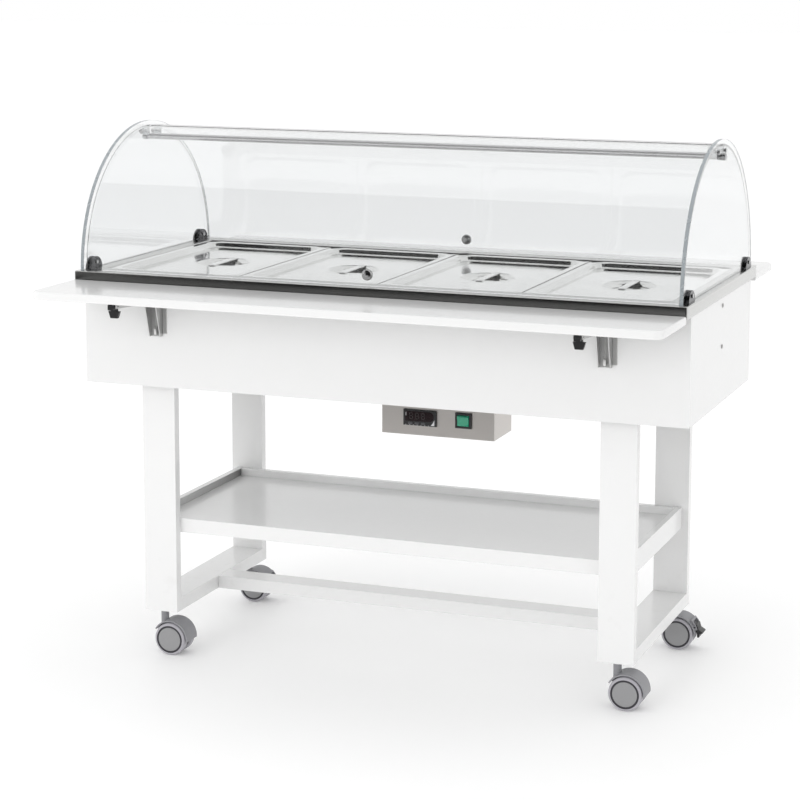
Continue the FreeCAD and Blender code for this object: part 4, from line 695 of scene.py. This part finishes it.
marks = [box_grid((middle_x + x, face_y - 0.0005, middle_z + z),
                  (middle_x + x + wide, face_y - 0.0002, middle_z + z + tall)) for x, z, wide, tall in spots]
inlay = [(0.0262, -0.0150), (0.0345, -0.0150), (0.0345, -0.0020), (0.0322, -0.0075)]
inlay = [(middle_x + x, middle_z + z) for x, z in inlay]
marks.append((carried(inlay, 1, (face_y - 0.0004, face_y + 0.0003)), ("band", "band")))
marks = surface("thermostat_marks", marks, mark_paint, "frame")

# ------------------------------------------------------------------ switch
# Black snap-in frame around a translucent green rocker, which lights up when the element is on.
eased("switch_frame", "switch_bezel", 0.0006, black_plastic)
green = finish_for("green_rocker", (0.012, 0.24, 0.135), 0.2, stretch=(60, 60, 60), tone=0.06, spread=0.06,
                   IOR=1.49, **{"Coat Weight": 0.5, "Coat Roughness": 0.08, "Subsurface Weight": 0.1,
                                "Subsurface Radius": (0.002, 0.004, 0.002)})
eased("switch_rocker", "switch_rocker_moulding", 0.0006, green)

# ------------------------------------------------------------------ drain valve
# Quarter-turn ball valve and elbow in nickel-worn brass, with a red dipped steel handle, under the tank.
brass = finish_for("valve_brass", (0.60, 0.47, 0.26), 0.3, stretch=(120, 120, 120), tone=0.2, spread=0.2,
                   Metallic=1.0)
red_dip = finish_for("valve_handle", (0.42, 0.025, 0.02), 0.35, stretch=(90, 90, 90), tone=0.08, spread=0.1,
                     depth=0.00006)
dress(brass, "drain_valve_body")
eased("drain_valve_lever", "drain_valve_grip", 0.0006, red_dip)

# ------------------------------------------------------------------ casters
# Twin-wheel castors in grey moulded nylon under zinc plated stems; the rear pair has black brake levers.
# Each wheel is a turned disc: a rounded tread, a thin rim, a ring groove and a slightly dished cover.
caster_grey = finish_for("caster_grey", (0.26, 0.26, 0.275), 0.42, stretch=(260, 260, 260), tone=0.06,
                         spread=0.12, depth=0.00004)
cover_grey = finish_for("wheel_cover", (0.285, 0.285, 0.29), 0.40, stretch=(900, 900, 900), tone=0.10,
                        spread=0.1, depth=0.00003)
tread_grey = finish_for("wheel_tread", (0.40, 0.39, 0.42), 0.42, stretch=(260, 260, 260), tone=0.05,
                        spread=0.1, depth=0.00003)
groove_grey = finish_for("wheel_groove", (0.040, 0.038, 0.045), 0.5, stretch=(260, 260, 260), tone=0.1,
                         spread=0.1, depth=0.00003)
stem_zinc = finish_for("caster_stem_zinc", (0.55, 0.56, 0.57), 0.3, stretch=(200, 200, 200), tone=0.15,
                       spread=0.2, Metallic=1.0)
dress(stem_zinc, "caster_stems")
for corner in ("front_left", "front_right", "rear_left", "rear_right"):
    eased(corner + "_caster_housing", corner + "_caster_hood", 0.0006, caster_grey)
    low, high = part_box(corner + "_caster_wheels")
    centre = [(low[i] + high[i]) / 2 for i in range(3)]
    tread, reach = (high[2] - low[2]) / 2, (high[1] - low[1]) / 2
    inner = 0.0085
    width, inner_edge, outer_edge = reach - inner, 0.0040, 0.0055
    profile = ([(0.0040, 0.0), (tread - inner_edge, 0.0)]
               + [tuple(p) for p in arc_steps((tread - inner_edge, inner_edge), inner_edge, -60, 0, 4)]
               + [tuple(p) for p in arc_steps((tread - outer_edge, width - outer_edge), outer_edge, 0, 90, 7)]
               + [(tread - 0.0058, width), (tread - 0.0061, width - 0.0014), (tread - 0.0099, width - 0.0014),
                  (tread - 0.0102, width - 0.0004), (tread - 0.0112, width), (0.0180, width - 0.0002),
                  (0.0060, width - 0.0003), (0.0006, width - 0.0003)])
    grids = [(turned([(radius, side * (inner + place)) for radius, place in profile], centre, 1, 72),
              ("fan", "fan")) for side in (-1, 1)]
    axle = [(0.0038, -inner - 0.001), (0.0038, inner + 0.001)]
    grids.append((turned(axle, centre, 1, 24), ("fan", "fan")))
    wheels = surface(corner + "_caster_discs", grids, cover_grey, corner + "_wheel_set")
    wheels.data.materials.append(tread_grey)
    wheels.data.materials.append(groove_grey)
    for polygon in wheels.data.polygons:
        away = math.hypot(polygon.center[0] - centre[0], polygon.center[2] - centre[2])
        outside = abs(polygon.center[1] - centre[1]) > reach - 0.0030
        groove = outside and tread - 0.0101 < away < tread - 0.0059
        polygon.material_index = 2 if groove else int(away > tread - 0.0060)
    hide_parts(corner + "_caster_wheels")
brake_plastic = finish_for("brake_plastic", (0.02, 0.02, 0.021), 0.4, stretch=(400, 400, 400), tone=0.2,
                           spread=0.12, depth=0.00004)
for corner in ("rear_left", "rear_right"):
    eased(corner + "_brake_lever", corner + "_brake_pedal", 0.0007, brake_plastic)

# ------------------------------------------------------------------ studio
# Plain white floor under an even white surround, one broad key from the front left and one from above.
# Three dark cards out of sight in front give the bright metal its dark reflections; the highest is also
# seen through the clear sheet.


def card(name, corners, material):
    """Flat four-cornered sheet for the set."""
    mesh = bpy.data.meshes.new(name)
    mesh.from_pydata([tuple(corner) for corner in corners], [], [(0, 1, 2, 3)])
    mesh.materials.append(material)
    piece = bpy.data.objects.new(name, mesh)
    bpy.context.scene.collection.objects.link(piece)
    return piece


def stand(thing, right, over, back, place):
    """Puts a light or camera at a place, with its own x, y and z axes along right, over and back."""
    for row in range(3):
        thing.matrix_world[row][0], thing.matrix_world[row][1] = right[row], over[row]
        thing.matrix_world[row][2], thing.matrix_world[row][3] = back[row], place[row]


def soft_light(name, place, aim, size, power):
    """Square area light pointed at a place."""
    data = bpy.data.lights.new(name, "AREA")
    data.size = size
    data.energy = power
    lamp = bpy.data.objects.new(name, data)
    lamp.visible_glossy = False
    lamp.visible_transmission = False
    bpy.context.scene.collection.objects.link(lamp)
    away = np.asarray(place, dtype=float) - np.asarray(aim, dtype=float)
    back = away / np.linalg.norm(away)
    right = np.cross((0.0, 0.0, 1.0), back)
    right /= np.linalg.norm(right)
    stand(lamp, right, np.cross(back, right), back, place)


pale_floor = finish_for("studio_floor", (0.93, 0.93, 0.93), 0.6, stretch=(3, 3, 3), tone=0.004, spread=0.05,
                        **{"Emission Color": (1, 1, 1, 1), "Emission Strength": 0.10})
dark_card = finish_for("dark_card", (0.01, 0.01, 0.01), 0.8, tone=0.01)
floor_reach = 40.0
card("floor", [(-floor_reach, -floor_reach, 0), (floor_reach, -floor_reach, 0), (floor_reach, floor_reach, 0),
               (-floor_reach, floor_reach, 0)], pale_floor)
for name, through, corners in (
        ("low_card", False, [(-5, -7, 0.02), (7, -7, 0.02), (7, -2.6, 0.02), (-5, -2.6, 0.02)]),
        ("tall_card", False, [(-5, -7, 0), (7, -7, 0), (7, -7, 7.0), (-5, -7, 7.0)]),
        ("high_card", True, [(-5, -6.9, 2.8), (7, -6.9, 2.8), (7, -2.2, 7.2), (-5, -2.2, 7.2)])):
    flag = card(name, corners, dark_card)
    flag.visible_camera = False
    flag.visible_diffuse = False
    flag.visible_shadow = False
    flag.visible_transmission = through
world = bpy.data.worlds.new("studio")
bpy.context.scene.world = world
world.use_nodes = True
surround = next(n for n in world.node_tree.nodes if n.type == "BACKGROUND")
surround.inputs["Color"].default_value = (1.0, 1.0, 1.0, 1)
surround.inputs["Strength"].default_value = 1.0
soft_light("key", (-1.6, -6.4, 2.2), (0, 0, 0.6), 3.0, 90)
soft_light("top", (0.4, 0.8, 5.0), (0, 0, 0.8), 3.0, 12)
bpy.context.scene.view_settings.view_transform = "Standard"

# ------------------------------------------------------------------ camera
# Long lens from the front right, a little above the deck and looking slightly down.
yaw, pitch, roll = 0.3497, 0.1466, 0.0045
forward = np.array([-math.sin(yaw) * math.cos(pitch), math.cos(yaw) * math.cos(pitch), -math.sin(pitch)])
level = np.array([math.cos(yaw), math.sin(yaw), 0.0])
upward = np.cross(level, forward)
right = level * math.cos(roll) + upward * math.sin(roll)
over = -level * math.sin(roll) + upward * math.cos(roll)
lens = bpy.data.cameras.new("camera")
lens.lens, lens.sensor_width = 99.78, 36.0
lens.shift_x, lens.shift_y = -0.05, -0.15
lens.clip_end = 200.0
camera = bpy.data.objects.new("camera", lens)
bpy.context.scene.collection.objects.link(camera)
stand(camera, right, over, -forward, (1.7417, -4.6438, 1.5945))
bpy.context.scene.camera = camera
